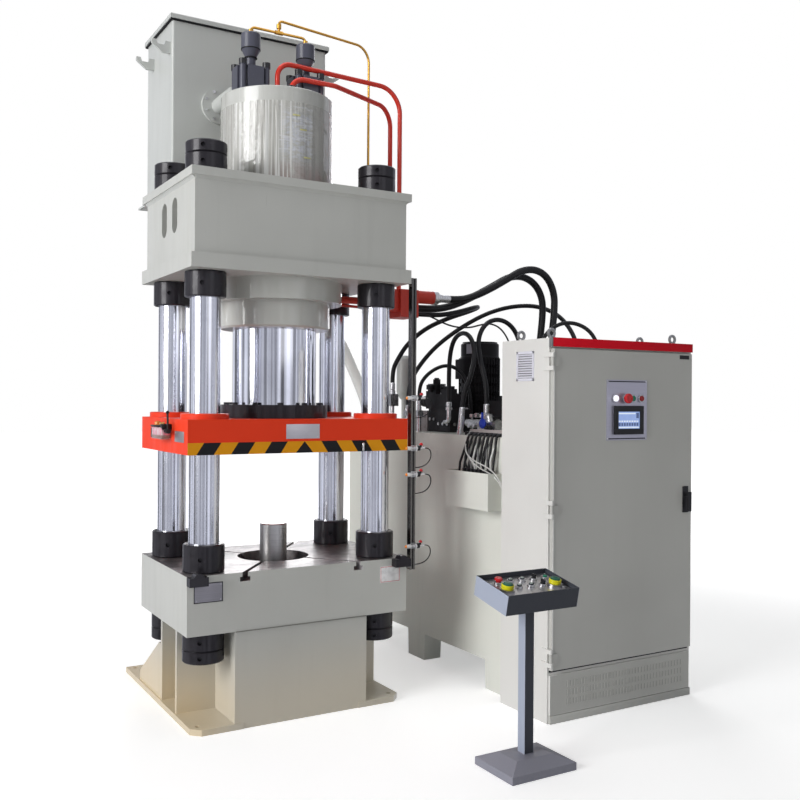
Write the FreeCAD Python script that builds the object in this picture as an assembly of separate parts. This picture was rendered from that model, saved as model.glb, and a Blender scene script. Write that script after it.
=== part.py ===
import FreeCAD, Part
import math
import os

# Four-column hydraulic press with its tank, oil station, control cabinet and operator's pedestal.
# X runs across the press, Y towards its back and Z up. The origin lies on the floor,
# midway between the four columns. All sizes are in millimetres.

# Fits
sliding_gap = 0.5
button_gap = 0.6
hinge_gap = 2.0
thin_gap = 1.0

# Columns and their nuts
column_radius = 75.0
column_half_x = 476.0
column_half_y = 265.0
column_chamfer = 8.0
nut_radius = 101.0
nut_chamfer = 5.0
locknut_height = 61.0
bed_nut_height = 135.0
crown_under_nut_height = 126.0
crown_top_nut_height = 92.0
bed_under_nut_height = 90.0
tommy_hole_radius = 11.0
tommy_hole_depth = 18.0
tommy_hole_count = 4

# Bed
bed_half_x = 600.0
bed_half_y = 395.0
bed_bottom = 475.0
bed_height = 285.0
bed_top = bed_bottom + bed_height
column_foot = bed_bottom - bed_under_nut_height - locknut_height
bed_top_plate = 70.0
bed_bottom_plate = 40.0
bed_wall = 30.0
bed_bore_radius = 190.0
boss_wall = 40.0
slot_throat = 22.0
slot_head = 42.0
slot_lip = 22.0
slot_head_depth = 22.0
slot_mouth_x = 311.0
bed_rib_x = 255.0
bed_rib = 20.0

# Base under the bed
foot_plate = 30.0
foot_half_x = 570.0
foot_inner_x = 316.0
foot_front = -400.0
foot_back = 828.0
foot_chamfer = 45.0
foot_hole_radius = 13.0
foot_hole_x = 526.0
foot_hole_front = -340.0
foot_hole_back = 786.0
box_half_x = 343.0
box_side_plate = 17.0
box_front_plate = 20.0
drip_plate = 12.0
rib_plate = 25.0
rib_half_x = 560.0
rib_places = (-103.0, 148.0)
gusset_plate = 25.0
gusset_length = 400.0
gusset_height = 288.0
rear_window_x = 200.0
rear_window_low = 100.0
rear_window_high = 400.0

# Crown
crown_half_x = 600.0
crown_half_y = 428.0
crown_bottom = 2219.0
crown_lower_flange = 71.0
crown_top_flange = 41.0
crown_height = 475.0
crown_top = crown_bottom + crown_height
column_head = crown_top + crown_top_nut_height + locknut_height
crown_inset = 22.0
crown_wall = 30.0
crown_weld = 14.0
crown_tube_wall = 25.0
side_slot_y = 88.0
side_slot_width = 86.0
side_slot_low = crown_bottom + 207.0
side_slot_high = crown_bottom + 383.0

# Cylinder and ram
ram_radius = 222.0
cylinder_bore = 228.0
cylinder_wall = 57.0
cylinder_head_wall = 42.0
cylinder_ring_radius = 360.0
cylinder_ring_height = 111.0
cylinder_end = crown_top + 166.0
cylinder_cap = 40.0
gland_radius = 294.0
gland_height = 138.0

# Slide
slide_half_x = 602.0
slide_half_y = 396.0
slide_bottom = 1332.0
slide_height = 169.0
slide_top = slide_bottom + slide_height
ram_length = 974.0
ram_top = slide_top + ram_length
slide_bottom_plate = 45.0
slide_top_plate = 40.0
slide_wall = 30.0
bush_wall = 20.0
bush_flange_radius = 117.0
bush_flange_height = 27.0
ram_flange_radius = 286.0
ram_flange_height = 69.0
ram_flange_split = 3.0
ram_bolt_radius = 14.0
ram_bolt_head = 12.0
ram_bolt_count = 12
ram_bolt_circle = 254.0

# Ejector under the bed
ejector_radius = 72.5
ejector_top = bed_top + 175.0
ejector_length = 600.0
ejector_bore = 88.0
ejector_wall = 32.0
ejector_flange_radius = 215.0
ejector_flange_height = 30.0
ejector_collar_height = 45.0
ejector_cylinder_foot = 95.0
ejector_end_plate = 30.0
ejector_piston_height = 30.0

# Filling drum on the crown and the two filling valves
drum_x = 7.0
drum_radius = 299.0
drum_wall = 10.0
drum_height = 501.0
drum_top = crown_top + drum_height
drum_lid = 25.0
valve_places = (-147.0, 170.0)
valve_width = 175.0
valve_depth = 160.0
valve_height = 152.0
valve_neck_radius = 26.5
valve_neck_height = 58.0
valve_cone_height = 47.0
valve_dome_radius = 51.0
valve_dome_height = 85.0
valve_bolt_inset = 22.0
valve_bolt_radius = 17.0
valve_bolt_head_radius = 21.0
valve_bolt_head = 28.0

# Rigid pipes on the crown
pilot_diameter = 14.0
pilot_rise = 38.0
pilot_branch_rise = 66.0
pilot_bend = 24.0
pilot_drop_bend = 90.0
pilot_tee_half = 22.0
pilot_tee_x = 13.0
pilot_drop_x = crown_half_x + 17.0
pilot_drop_y = 95.0
pilot_nut_radius = 13.0
pilot_nut_length = 24.0
supply_diameter = 27.0
supply_high_run = drum_top + 199.0
supply_low_run = drum_top + 115.0
supply_bend = 80.0
supply_high_bend = 140.0
supply_low_bend = 110.0
supply_high_x = -20.0
supply_high_y = -62.0
supply_low_x = 38.0
supply_low_y = -104.0
supply_pass_x = 300.0
supply_drop_x = crown_half_x + 168.0
supply_drop_y = -8.0
supply_low_shift_x = -4.0
supply_low_shift_y = 104.0
supply_nut_radius = 20.0
supply_nut_height = 26.0

# Manifold at the right end of the crown
manifold_x0 = crown_half_x + 100.0
manifold_length = 180.0
manifold_x1 = manifold_x0 + manifold_length
manifold_y0 = -48.0
manifold_y1 = 125.0
manifold_z0 = crown_bottom - 139.0
manifold_z1 = crown_bottom + 21.0
manifold_feed_z = crown_bottom - 59.0
manifold_leak_z = crown_bottom - 85.0
manifold_leak_in_z = crown_bottom - 97.0
manifold_leak_y = 30.0
manifold_shoulder = 60.0
manifold_shoulder_y = 24.0
manifold_shoulder_drop = 45.0
ring_bite = 2.0
manifold_feed_radius = 20.0
manifold_leak_radius = 8.0
coupling_z = crown_bottom - 13.0
coupling_radius = 38.0
coupling_length = 125.0
coupling_flange_length = 30.0
coupling_flange_radius = 40.0
inner_main_x = manifold_x1 + 50.0
inner_main_z = crown_bottom - 73.0
return_x = manifold_x1 + 30.0
return_z = crown_bottom - 103.0
sensor_z = crown_bottom - 111.0

# Head tank behind the crown
tank_x0 = -437.0
tank_x1 = 507.0
tank_gap = 12.0
tank_depth = 498.0
tank_y0 = crown_half_y + tank_gap
tank_y1 = tank_y0 + tank_depth
bearer_height = 39.0
tank_height = 979.0
tank_bottom = crown_top + bearer_height
tank_top = tank_bottom + tank_height
tank_corner = 12.0
tank_wall = 8.0
tank_foot_flange = 40.0
tank_foot_thickness = 12.0
lid_thickness = 28.0
lid_overhang = 15.0
hook_reach = 105.0
hook_height = 65.0
hook_plate = 18.0
hook_places = (tank_y0 + 40.0, tank_y1 - 138.0)
hook_z = tank_top - 120.0
hook_root = 0.45
hook_slope = 0.35
hook_tip = 0.78
hook_notch = 0.7
hook_rise = 0.28
lid_chamfer = 5.0
bearer_x = 270.0
bearer_width = 60.0
bearer_front = crown_half_y - 58.0
bracket_plate = 20.0
bracket_foot = crown_top - 374.0
bracket_nose = crown_top - 34.0
bracket_foot_depth = 60.0
bracket_nose_y = tank_y1 + 22.0

# Filling pipe from the head tank to the drum
filling_x = -170.0
filling_z = drum_top + 67.0
filling_radius = 45.0
filling_flange_radius = 100.0
filling_flange = 20.0
filling_drop_y = 150.0
filling_bend = 58.0

# Stop blocks on the bed and the limit rail
stop_half_x = bed_half_x + 2.0
stop_width = 92.0
stop_height = 42.0
stop_depth = 48.0
stop_boss_radius = 26.0
stop_boss_rise = 24.0
rail_stand = 25.0
rail_x0 = max(bed_half_x, crown_half_x) + rail_stand
rail_width = 30.0
rail_inset = 1.0
rail_y0 = rail_inset - bed_half_y
rail_depth = 34.0
rail_bottom = bed_top - 70.0
rail_top = crown_bottom + 36.0
rail_groove_wall = 10.0
rail_groove_depth = 8.0
rail_clamp_rise = 10.0
rail_top_clamp = 32.0
rail_clamp = 40.0
switch_heights = (bed_top + 59.0, slide_bottom - 130.0, slide_bottom + 10.0, slide_top + 110.0)
switch_foot = 4.0
switch_half_height = 15.0
switch_bracket_reach = 16.0
switch_radius = 6.5
switch_y = rail_y0 - 18.0
switch_x0 = rail_x0 - 37.0
switch_length = 112.0
switch_nut_radius = 11.0
switch_nut_length = 9.0
switch_bracket = 6.0

# Grease pump on the slide's left face
grease_axis = 30.0
grease_depth = 52.0
grease_front = -150.0
grease_back = -30.0
grease_low = slide_bottom + 60.0
grease_height = 70.0
grease_link = 46.0
cup_radius = 30.0
cup_height = 64.0
lever_z = slide_bottom + 108.0
lever_boss = 22.0
lever_boss_radius = 14.0
lever_hub = 17.6
lever_lean = 9.2
lever_length = 92.0
lever_radius = 5.0
lever_knob = 9.0

# Oil station beside the press
station_x0 = 1085.0
station_width = 900.0
station_x1 = station_x0 + station_width
station_y0 = -660.0
station_length = 1860.0
station_y1 = station_y0 + station_length
station_bottom = 160.0
station_height = 1240.0
station_top = station_bottom + station_height
station_wall = 10.0
station_foot_length = 200.0
station_foot_width = 120.0
station_foot_places = (station_y0 + 16.0, station_y0 + 845.0, station_y0 + 1470.0)
hatch_height = 15.0
hatch_plan = (1500.0, 1900.0, 640.0, 1080.0)
hatch_chamfer = 4.0
foot_taper = 8.0
manifold_block_top = station_top + 200.0
manifold_step_top = manifold_block_top + 30.0
manifold_block_plan = (1420.0, 1975.0, -450.0, 10.0)
manifold_step_plan = (1480.0, 1870.0, -430.0, -20.0)
duct_x0 = station_x0 + 65.0
duct_x1 = station_x0 + 85.0
duct_height = 34.0
motor_x = 1635.0
motor_y = 398.0
motor_radius = 130.0
motor_top = station_top + 583.0
motor_neck = 22.0
motor_neck_height = 60.0
motor_shoulder_height = 78.0
motor_rib_start = 110.0
motor_rib_pitch = 60.0
motor_rib_slope = 4.0
motor_rib_land = 22.0
motor_cowl_step = 10.0
motor_cowl_inset = 4.0
motor_cowl_round = 12.0
motor_cowl_top = 20.0
terminal_reach = 28.0
terminal_bite = 30.0
terminal_half = 55.0
terminal_low = station_top + 345.0
terminal_high = station_top + 465.0

# Valve stack, ball valve and blocks on the oil station: plans are x0, x1, y0, y1
valve_base_plan = (1240.0, 1400.0, 158.0, 405.0)
valve_base_top = station_top + 145.0
valve_plate_plan = (1250.0, 1390.0, 200.0, 385.0)
valve_plate_top = valve_base_top + 95.0
valve_stack_plan = (1255.0, 1345.0, 345.0, 462.0)
valve_stack_top = valve_base_top + 115.0
coil_plan = (1262.0, 1338.0, 356.0, 450.0)
coil_top = valve_stack_top + 46.0
coil_cap_radius = 24.0
coil_cap_height = 29.0
side_coil_plan = (1258.0, 1330.0, 212.0, 290.0)
side_coil_height = 32.0
solenoid_radius = 34.0
solenoid_length = 100.0
solenoid_rise = 47.0
rear_block_plan = (1240.0, 1385.0, 420.0, 572.0)
rear_block_height = 132.0
ball_block_plan = (1224.0, 1290.0, -330.0, -160.0)
ball_block_height = 48.0
ball_x = 1250.0
ball_z = station_top + 66.0
ball_y = -240.0
ball_front = -330.0
ball_back = -160.0
ball_pipe_end = -20.0
ball_radius = 26.0
ball_pipe_radius = 22.0
ball_stem_radius = 8.0
ball_stem_end = 1214.0
ball_neck_radius = 19.0
ball_neck_top = station_top + 100.0
wheel_gap = 0.4
wheel_radius = 30.0
wheel_thickness = 16.0
wheel_chamfer = 4.0
grip_near = 7.0
grip_far = 15.0
grip_half = 7.0
grip_height = 64.0
motor_flange_radius = 152.0
motor_flange = 22.0
motor_groove = 6.0
motor_fan_height = 90.0
accumulator_x = 1278.0
accumulator_y = 782.0
accumulator_radius = 50.0
accumulator_neck_radius = 16.0
accumulator_rise = 233.0
accumulator_length = 274.0
accumulator_bottom = station_top + accumulator_rise
accumulator_top = accumulator_bottom + accumulator_length
accumulator_foot_radius = 36.0
accumulator_foot = 14.0
trough_width = 100.0
trough_length = 410.0
trough_x0 = station_x0 - trough_width
trough_y0 = station_y0 + 60.0
trough_y1 = trough_y0 + trough_length
trough_z1 = station_top - 195.0
trough_z0 = trough_z1 - 202.0
trough_margin = 45.0
trough_wall = 6.0
cable_radius = 7.0
cable_count = 8
cable_stand_off = 4.0
cable_gather = 0.82
cable_bow = 15.0
cable_entry = 40.0
cable_end = 60.0

# Control cabinet
cabinet_x0 = 1010.0
cabinet_width = 995.0
cabinet_x1 = cabinet_x0 + cabinet_width
cabinet_front = -1095.0
cabinet_depth = 407.0
cabinet_back = cabinet_front + cabinet_depth
cabinet_top = 1913.0
cabinet_wall = 12.0
door_thickness = 22.0
door_x0 = cabinet_x0 + 9.0
door_x1 = cabinet_x1 - 15.0
door_bottom = 265.0
door_top = cabinet_top - 51.0
header_bottom = cabinet_top - 43.0
header_depth = 22.0
vent_bottom = 43.0
vent_top = 240.0
vent_depth = 12.0
mounting_margin = 60.0
mounting_thickness = 8.0
panel_width = 284.0
panel_height = 312.0
panel_x0 = cabinet_x0 + 356.0
panel_x1 = panel_x0 + panel_width
panel_z0 = cabinet_top - 513.0
panel_z1 = panel_z0 + panel_height
panel_thickness = 4.0
bezel_width = 201.0
bezel_height = 147.0
bezel_x0 = panel_x0 + 48.0
bezel_x1 = bezel_x0 + bezel_width
bezel_z0 = panel_z0 + 30.0
bezel_z1 = bezel_z0 + bezel_height
bezel_thickness = 12.0
screen_inset = 24.0
screen_depth = 5.0
door_button_z = panel_z0 + 216.0
lamp_x = panel_x0 + 57.0
stop_button_x = panel_x0 + 130.0
start_button_x = panel_x0 + 180.0
off_button_x = panel_x0 + 239.0
button_radius = 14.0
button_bezel_radius = 19.0
button_bezel_height = 6.0
mushroom_radius = 26.0
mushroom_height = 16.0
hinge_x = cabinet_x0
hinge_y = cabinet_front - 5.0
hinge_radius = 8.0
hinge_pin = 3.5
hinge_half = 22.0
hinge_heights = (door_bottom + 65.0, (door_bottom + door_top) / 2, door_top - 66.0)
handle_x = door_x1 - 49.0
handle_z = 1100.0
handle_plate_width = 40.0
handle_plate_height = 141.0
handle_length = 105.0
handle_width = 24.0
handle_stand = 20.0
eye_inset = 70.0
eye_wire = 7.0
eye_radius = 20.0
eye_collar = 10.0

# Operator's pedestal
pedestal_x = 583.0
pedestal_y = -1446.0
foot_width = 346.0
foot_depth = 272.0
foot_edge = 34.0
foot_rise = 30.0
foot_flat_width = 190.0
foot_flat_depth = 130.0
post_size = 48.0
desk_width = 386.0
desk_depth = 236.0
desk_height = 88.0
desk_tilt = 11.9
desk_wall = 5.0
desk_recess = 20.0
desk_panel = 6.0
desk_centre_y = pedestal_y - 10.0
desk_centre_z = 812.0
desk_row_back = 58.0
desk_row_front = -8.0
desk_spacing = 65.0
desk_first_x = -117.0
palm_x = 130.0
palm_row = -26.0
palm_radius = 29.0
palm_height = 26.0
palm_collar_radius = 34.0
palm_collar_height = 12.0

# Fittings at the hose ends, and how far each stands off its face
main_ferrule = 92.0
main_stand = 70.0
long_stand = 50.0
far_stand = 60.0
far_end_stand = 90.0
sensor_stand = 128.0
low_stand = 110.0
loop_stand = 160.0
loop_start_rise = 190.0
arch_stand = 80.0
return_stand = 75.0
long_riser_stand = 38.0
low_riser_stand = 80.0
outlet_reach = 33.0
suction_rise = 40.0
station_ferrule = 17.0
small_ferrule = 15.0
return_ferrule = 18.0
sensor_ferrule = 9.0
elbow_drop = 50.0
elbow_back = 62.0
elbow_diameter = 26.0
elbow_bend = 28.0
riser_radius = 14.0
riser_block_low = station_top + 100.0
return_block_half = 30.0
return_block_low = station_top + 160.0
return_block_high = station_top + 240.0
long_block_half = 24.0
long_block_high = station_top + 130.0
low_block_half = 20.0
low_block_high = station_top + 135.0
suction_radius = 33.0
suction_bite = 20.0
suction_under = 99.0
suction_flange = 12.0
suction_flange_radius = 44.0
outlet_flange_radius = 60.0

# Routes of the free hoses, from fitting to fitting, and their diameters
main_hose = 44.0
return_hose = 30.0
station_hose = 28.0
small_hose = 24.0
sensor_cable = 10.0
clear_hose = 74.0
switch_cable = 6.0

outer_main_route = [
    (1127, 0, 2206), (1215, 0, 2206), (1310, -30, 2240), (1400, -70, 2290), (1485, -105, 2345),
    (1570, -130, 2400), (1682, -132, 2413), (1780, -122, 2372), (1846, -108, 2275), (1850, -103, 2158),
    (1828, -110, 2040), (1806, -124, 1922), (1792, -136, 1810), (1792, -136, 1700)]
inner_main_route = [
    (930, 54, 2146), (1040, 54, 2146), (1150, 54, 2164), (1258, 48, 2204), (1362, 24, 2258),
    (1458, -4, 2314), (1550, -28, 2370), (1655, -42, 2378), (1749, -44, 2332), (1808, -38, 2245),
    (1815, -30, 2140), (1803, -28, 2025), (1785, -33, 1915), (1768, -40, 1810), (1768, -40, 1700)]
return_route = [
    (910, 98, 2116), (1010, 98, 2116), (1130, 93, 2118), (1265, 92, 2146), (1385, 108, 2180),
    (1478, 188, 2196), (1500, 320, 2180), (1430, 475, 2142), (1330, 585, 2080), (1232, 655, 1980),
    (1170, 686, 1870), (1140, 699, 1795), (1140, 699, 1715)]
long_route = [
    (1130, 480, 1568), (1130, 480, 1680), (1190, 482, 1795), (1290, 450, 1925), (1395, 410, 2020),
    (1525, 360, 2113), (1655, 297, 2185), (1780, 212, 2222), (1885, 100, 2218), (1952, -25, 2155),
    (1978, -130, 2040), (1965, -205, 1905), (1930, -238, 1795), (1915, -246, 1715), (1915, -246, 1650)]
low_route = [
    (1165, 400, 1615), (1165, 400, 1685), (1205, 397, 1750), (1270, 388, 1800), (1345, 372, 1828),
    (1415, 350, 1812), (1466, 322, 1750), (1484, 300, 1670), (1486, 285, 1590), (1486, 285, 1510)]
loop_route = [
    (1210, 125, 1590), (1210, 125, 1690), (1203, 114, 1795), (1204, 104, 1892), (1202, 66, 1966),
    (1198, -1, 2003), (1192, -79, 2003), (1188, -146, 1966), (1185, -185, 1892), (1170, -192, 1805),
    (1148, -185, 1722), (1120, -168, 1645), (1114, -164, 1560)]
arch_route = [
    (1250, -215, 1580), (1250, -215, 1680), (1238, -190, 1780), (1232, -160, 1880), (1236, -146, 1968),
    (1279, -138, 2045), (1356, -130, 2088), (1444, -124, 2086), (1521, -120, 2040), (1565, -120, 1960),
    (1574, -124, 1872), (1562, -134, 1785), (1562, -134, 1700)]
far_route = [
    (1645, -225, 1690), (1645, -225, 1780), (1638, -222, 1866), (1644, -224, 1949), (1683, -248, 2028),
    (1753, -289, 2076), (1833, -335, 2074), (1903, -376, 2028), (1942, -400, 1949), (1942, -402, 1860),
    (1930, -398, 1775), (1930, -398, 1690)]
sensor_route = [
    (880, -20, 2108), (935, -20, 2108), (992, -26, 2088), (1050, -34, 2062), (1112, -44, 2042),
    (1175, -56, 2034), (1238, -70, 2038), (1298, -84, 2056), (1356, -98, 2066), (1410, -116, 2046),
    (1448, -136, 1996), (1466, -156, 1932), (1470, -176, 1862), (1462, -190, 1794), (1462, -190, 1728)]
clear_route = [
    (363, 682, 2700), (363, 682, 2590), (405, 699, 2447), (486, 733, 2326), (590, 776, 2226),
    (699, 821, 2134), (801, 864, 2034), (890, 901, 1919), (969, 934, 1796), (1047, 966, 1672),
    (1108, 991, 1552), (1127, 1000, 1440)]
switch_cable_steps = [
    (0, 0, 0), (26, 0, 0), (45, 5, -24), (47, 12, -58), (30, 24, -90), (-6, 34, -106), (-45, 34, -106)]


def block(x0, x1, y0, y1, z0, z1):
    return Part.makeBox(x1 - x0, y1 - y0, z1 - z0, FreeCAD.Vector(x0, y0, z0))


def bar(start, end, radius):
    foot = FreeCAD.Vector(*start)
    way = FreeCAD.Vector(*end) - foot
    return Part.makeCylinder(radius, way.Length, foot, way)


def post(x, y, z0, z1, radius):
    return bar((x, y, z0), (x, y, z1), radius)


def face_of(points):
    corners = [FreeCAD.Vector(*point) for point in points]
    return Part.Face(Part.makePolygon(corners + corners[:1]))


def slab(points, depth):
    # A flat outline pushed along a vector
    return face_of(points).extrude(FreeCAD.Vector(*depth))


def turned(profile, foot, axis=(0, 0, 1)):
    # The profile is a list of (radius, height) round an axis through the foot
    outline = face_of([(radius, 0, height) for radius, height in profile])
    shape = outline.revolve(FreeCAD.Vector(0, 0, 0), FreeCAD.Vector(0, 0, 1), 360)
    turn = FreeCAD.Rotation(FreeCAD.Vector(0, 0, 1), FreeCAD.Vector(*axis))
    shape.Placement = FreeCAD.Placement(FreeCAD.Vector(*foot), turn)
    return shape


def joined(shapes):
    return shapes[0].fuse(shapes[1:]).removeSplitter()


def without(shape, tools):
    return shape.cut(tools)


def save(name, shapes):
    whole = shapes[0] if len(shapes) == 1 else Part.makeCompound(shapes)
    whole.exportStep("parts/" + name + ".step")


def path_of(points, bends):
    # Straight runs joined by tangent arcs; a free hose, given no bends, turns as wide as its runs allow
    corners = [FreeCAD.Vector(*point) for point in points]
    edges = []
    radii = []
    last = corners[0]
    for index in range(1, len(corners) - 1):
        before, corner, after = corners[index - 1:index + 2]
        come = (corner - before).normalize()
        leave = (after - corner).normalize()
        half_turn = come.getAngle(leave) / 2
        reach = 0.45 * min(corner.distanceToPoint(before), corner.distanceToPoint(after))
        if bends:
            reach = bends[index - 1] * math.tan(half_turn)
        radii.append(reach / math.tan(half_turn))
        start = corner - come * reach
        end = corner + leave * reach
        bisector = (leave - come).normalize()
        middle = corner + bisector * (radii[-1] / math.cos(half_turn) - radii[-1])
        edges.append(Part.LineSegment(last, start).toShape())
        edges.append(Part.Arc(start, middle, end).toShape())
        last = end
    edges.append(Part.LineSegment(last, corners[-1]).toShape())
    return Part.Wire(edges), radii


def tube(points, diameter, bends=None):
    path, radii = path_of(points, bends)
    start = FreeCAD.Vector(*points[0])
    way = FreeCAD.Vector(*points[1]) - start
    ring = Part.Wire(Part.Circle(start, way, diameter / 2).toShape())
    shape = path.makePipe(Part.Face(ring))
    if not bends:
        area = math.pi * diameter ** 2 / 4
        print("hose", diameter, "length", round(path.Length), "tightest", round(min(radii)),
              "volume ratio", round(shape.Volume / area / path.Length, 4))
    return shape


def column_places():
    return [(side_x * column_half_x, side_y * column_half_y) for side_x in (-1, 1) for side_y in (-1, 1)]


def column_set():
    shapes = []
    for x, y in column_places():
        profile = [(0, column_foot), (column_radius - column_chamfer, column_foot),
                   (column_radius, column_foot + column_chamfer),
                   (column_radius, column_head - column_chamfer),
                   (column_radius - column_chamfer, column_head), (0, column_head)]
        shapes.append(turned(profile, (x, y, 0)))
    save("columns", shapes)


def round_nut(x, y, z0, z1):
    # A round nut with tommy bar holes drilled into its side
    profile = [(column_radius, z0), (nut_radius - nut_chamfer, z0), (nut_radius, z0 + nut_chamfer),
               (nut_radius, z1 - nut_chamfer), (nut_radius - nut_chamfer, z1), (column_radius, z1)]
    holes = []
    for index in range(tommy_hole_count):
        angle = math.radians(62.0 + index * 360.0 / tommy_hole_count)
        way = FreeCAD.Vector(math.cos(angle), math.sin(angle), 0)
        foot = FreeCAD.Vector(x, y, (z0 + z1) / 2) + way * (nut_radius - tommy_hole_depth)
        holes.append(Part.makeCylinder(tommy_hole_radius, tommy_hole_depth + thin_gap, foot, way))
    return without(turned(profile, (x, y, 0)), holes)


def nut_sets():
    nuts = []
    locknuts = []
    lock_top = column_foot + locknut_height
    crown_nut_top = crown_top + crown_top_nut_height
    for x, y in column_places():
        locknuts.append(round_nut(x, y, column_foot, lock_top))
        nuts.append(round_nut(x, y, lock_top, bed_bottom))
        nuts.append(round_nut(x, y, bed_top, bed_top + bed_nut_height))
        nuts.append(round_nut(x, y, crown_bottom - crown_under_nut_height, crown_bottom))
        nuts.append(round_nut(x, y, crown_top, crown_nut_top))
        locknuts.append(round_nut(x, y, crown_nut_top, column_head))
    save("column_nuts", nuts)
    save("column_locknuts", locknuts)


def column_bosses(z0, z1):
    return [post(x, y, z0, z1, column_radius + boss_wall) for x, y in column_places()]


def column_holes(z0, z1):
    return [post(x, y, z0, z1, column_radius + sliding_gap) for x, y in column_places()]


def bed_slots():
    # Four slots for clamping bolts run from the bore out to the front and back edges
    way_length = math.hypot(slot_mouth_x, bed_half_y)
    cuts = []
    for side_x in (-1, 1):
        for side_y in (-1, 1):
            way = FreeCAD.Vector(side_x * slot_mouth_x, side_y * bed_half_y, 0) * (1 / way_length)
            across = FreeCAD.Vector(-way.y, way.x, 0)
            lip_bottom = bed_top - slot_lip
            for width, low, high in ((slot_throat, lip_bottom - thin_gap, bed_top + thin_gap),
                                     (slot_head, lip_bottom - slot_head_depth, lip_bottom)):
                near = way * (bed_bore_radius * 0.9)
                far = way * (way_length + slot_head)
                corners = [near - across * (width / 2), far - across * (width / 2),
                           far + across * (width / 2), near + across * (width / 2)]
                points = [(corner.x, corner.y, low) for corner in corners]
                cuts.append(slab(points, (0, 0, high - low)))
    return cuts


def bed():
    outer = block(-bed_half_x, bed_half_x, -bed_half_y, bed_half_y, bed_bottom, bed_top)
    room_low = bed_bottom + bed_bottom_plate
    room_high = bed_top - bed_top_plate
    room = block(-bed_half_x + bed_wall, bed_half_x - bed_wall, -bed_half_y + bed_wall,
                 bed_half_y - bed_wall, room_low, room_high)
    keep = column_bosses(room_low, room_high)
    keep.append(post(0, 0, room_low, room_high, bed_bore_radius + boss_wall))
    for side in (-1, 1):
        keep.append(block(side * bed_rib_x - bed_rib / 2, side * bed_rib_x + bed_rib / 2,
                          -bed_half_y + bed_wall, bed_half_y - bed_wall, room_low, room_high))
    shape = without(outer, [without(room, keep)])
    cuts = column_holes(bed_bottom, bed_top)
    cuts.append(post(0, 0, room_low, bed_top, bed_bore_radius))
    cuts.append(post(0, 0, bed_bottom, room_low, ejector_bore + ejector_wall))
    save("bed_beam", [without(shape, cuts + bed_slots()).removeSplitter()])


def base():
    inner_x = box_half_x
    outer_x = box_half_x + box_side_plate
    pieces = [block(-inner_x, inner_x, -bed_half_y, -bed_half_y + box_front_plate, foot_plate, bed_bottom),
              block(-foot_inner_x, foot_inner_x, -bed_half_y, -bed_half_y + box_front_plate, 0, foot_plate),
              block(-inner_x, inner_x, bed_half_y - box_front_plate, bed_half_y, foot_plate, bed_bottom),
              block(-foot_inner_x, foot_inner_x, -bed_half_y, bed_half_y, 0, drip_plate)]
    gusset_x = rib_half_x - gusset_plate / 2
    rear_rib_back = rib_places[1] + rib_plate / 2
    for side in (-1, 1):
        outline = [(side * foot_inner_x, foot_front, 0), (side * (foot_half_x - foot_chamfer), foot_front, 0),
                   (side * foot_half_x, foot_front + foot_chamfer, 0), (side * foot_half_x, foot_back, 0),
                   (side * foot_inner_x, foot_back, 0)]
        foot = slab(outline, (0, 0, foot_plate))
        holes = [post(side * foot_hole_x, y, -thin_gap, foot_plate + thin_gap, foot_hole_radius)
                 for y in (foot_hole_front, foot_hole_back)]
        pieces.append(without(foot, holes))
        low_x, high_x = sorted((side * inner_x, side * outer_x))
        pieces.append(block(low_x, high_x, -bed_half_y, bed_half_y, foot_plate, bed_bottom))
        for y in rib_places:
            low_x, high_x = sorted((side * outer_x, side * rib_half_x))
            pieces.append(block(low_x, high_x, y - rib_plate / 2, y + rib_plate / 2, foot_plate, bed_bottom))
        x0 = side * gusset_x - gusset_plate / 2
        gusset = [(x0, rear_rib_back, foot_plate), (x0, rear_rib_back + gusset_length, foot_plate),
                  (x0, rear_rib_back + gusset_length, foot_plate + 50),
                  (x0, rear_rib_back + 36, foot_plate + gusset_height), (x0, rear_rib_back, foot_plate + gusset_height)]
        pieces.append(slab(gusset, (gusset_plate, 0, 0)))
    window = block(-rear_window_x, rear_window_x, bed_half_y - box_front_plate - thin_gap,
                   bed_half_y + thin_gap, rear_window_low, rear_window_high)
    save("base_frame", [without(joined(pieces), [window])])


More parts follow.
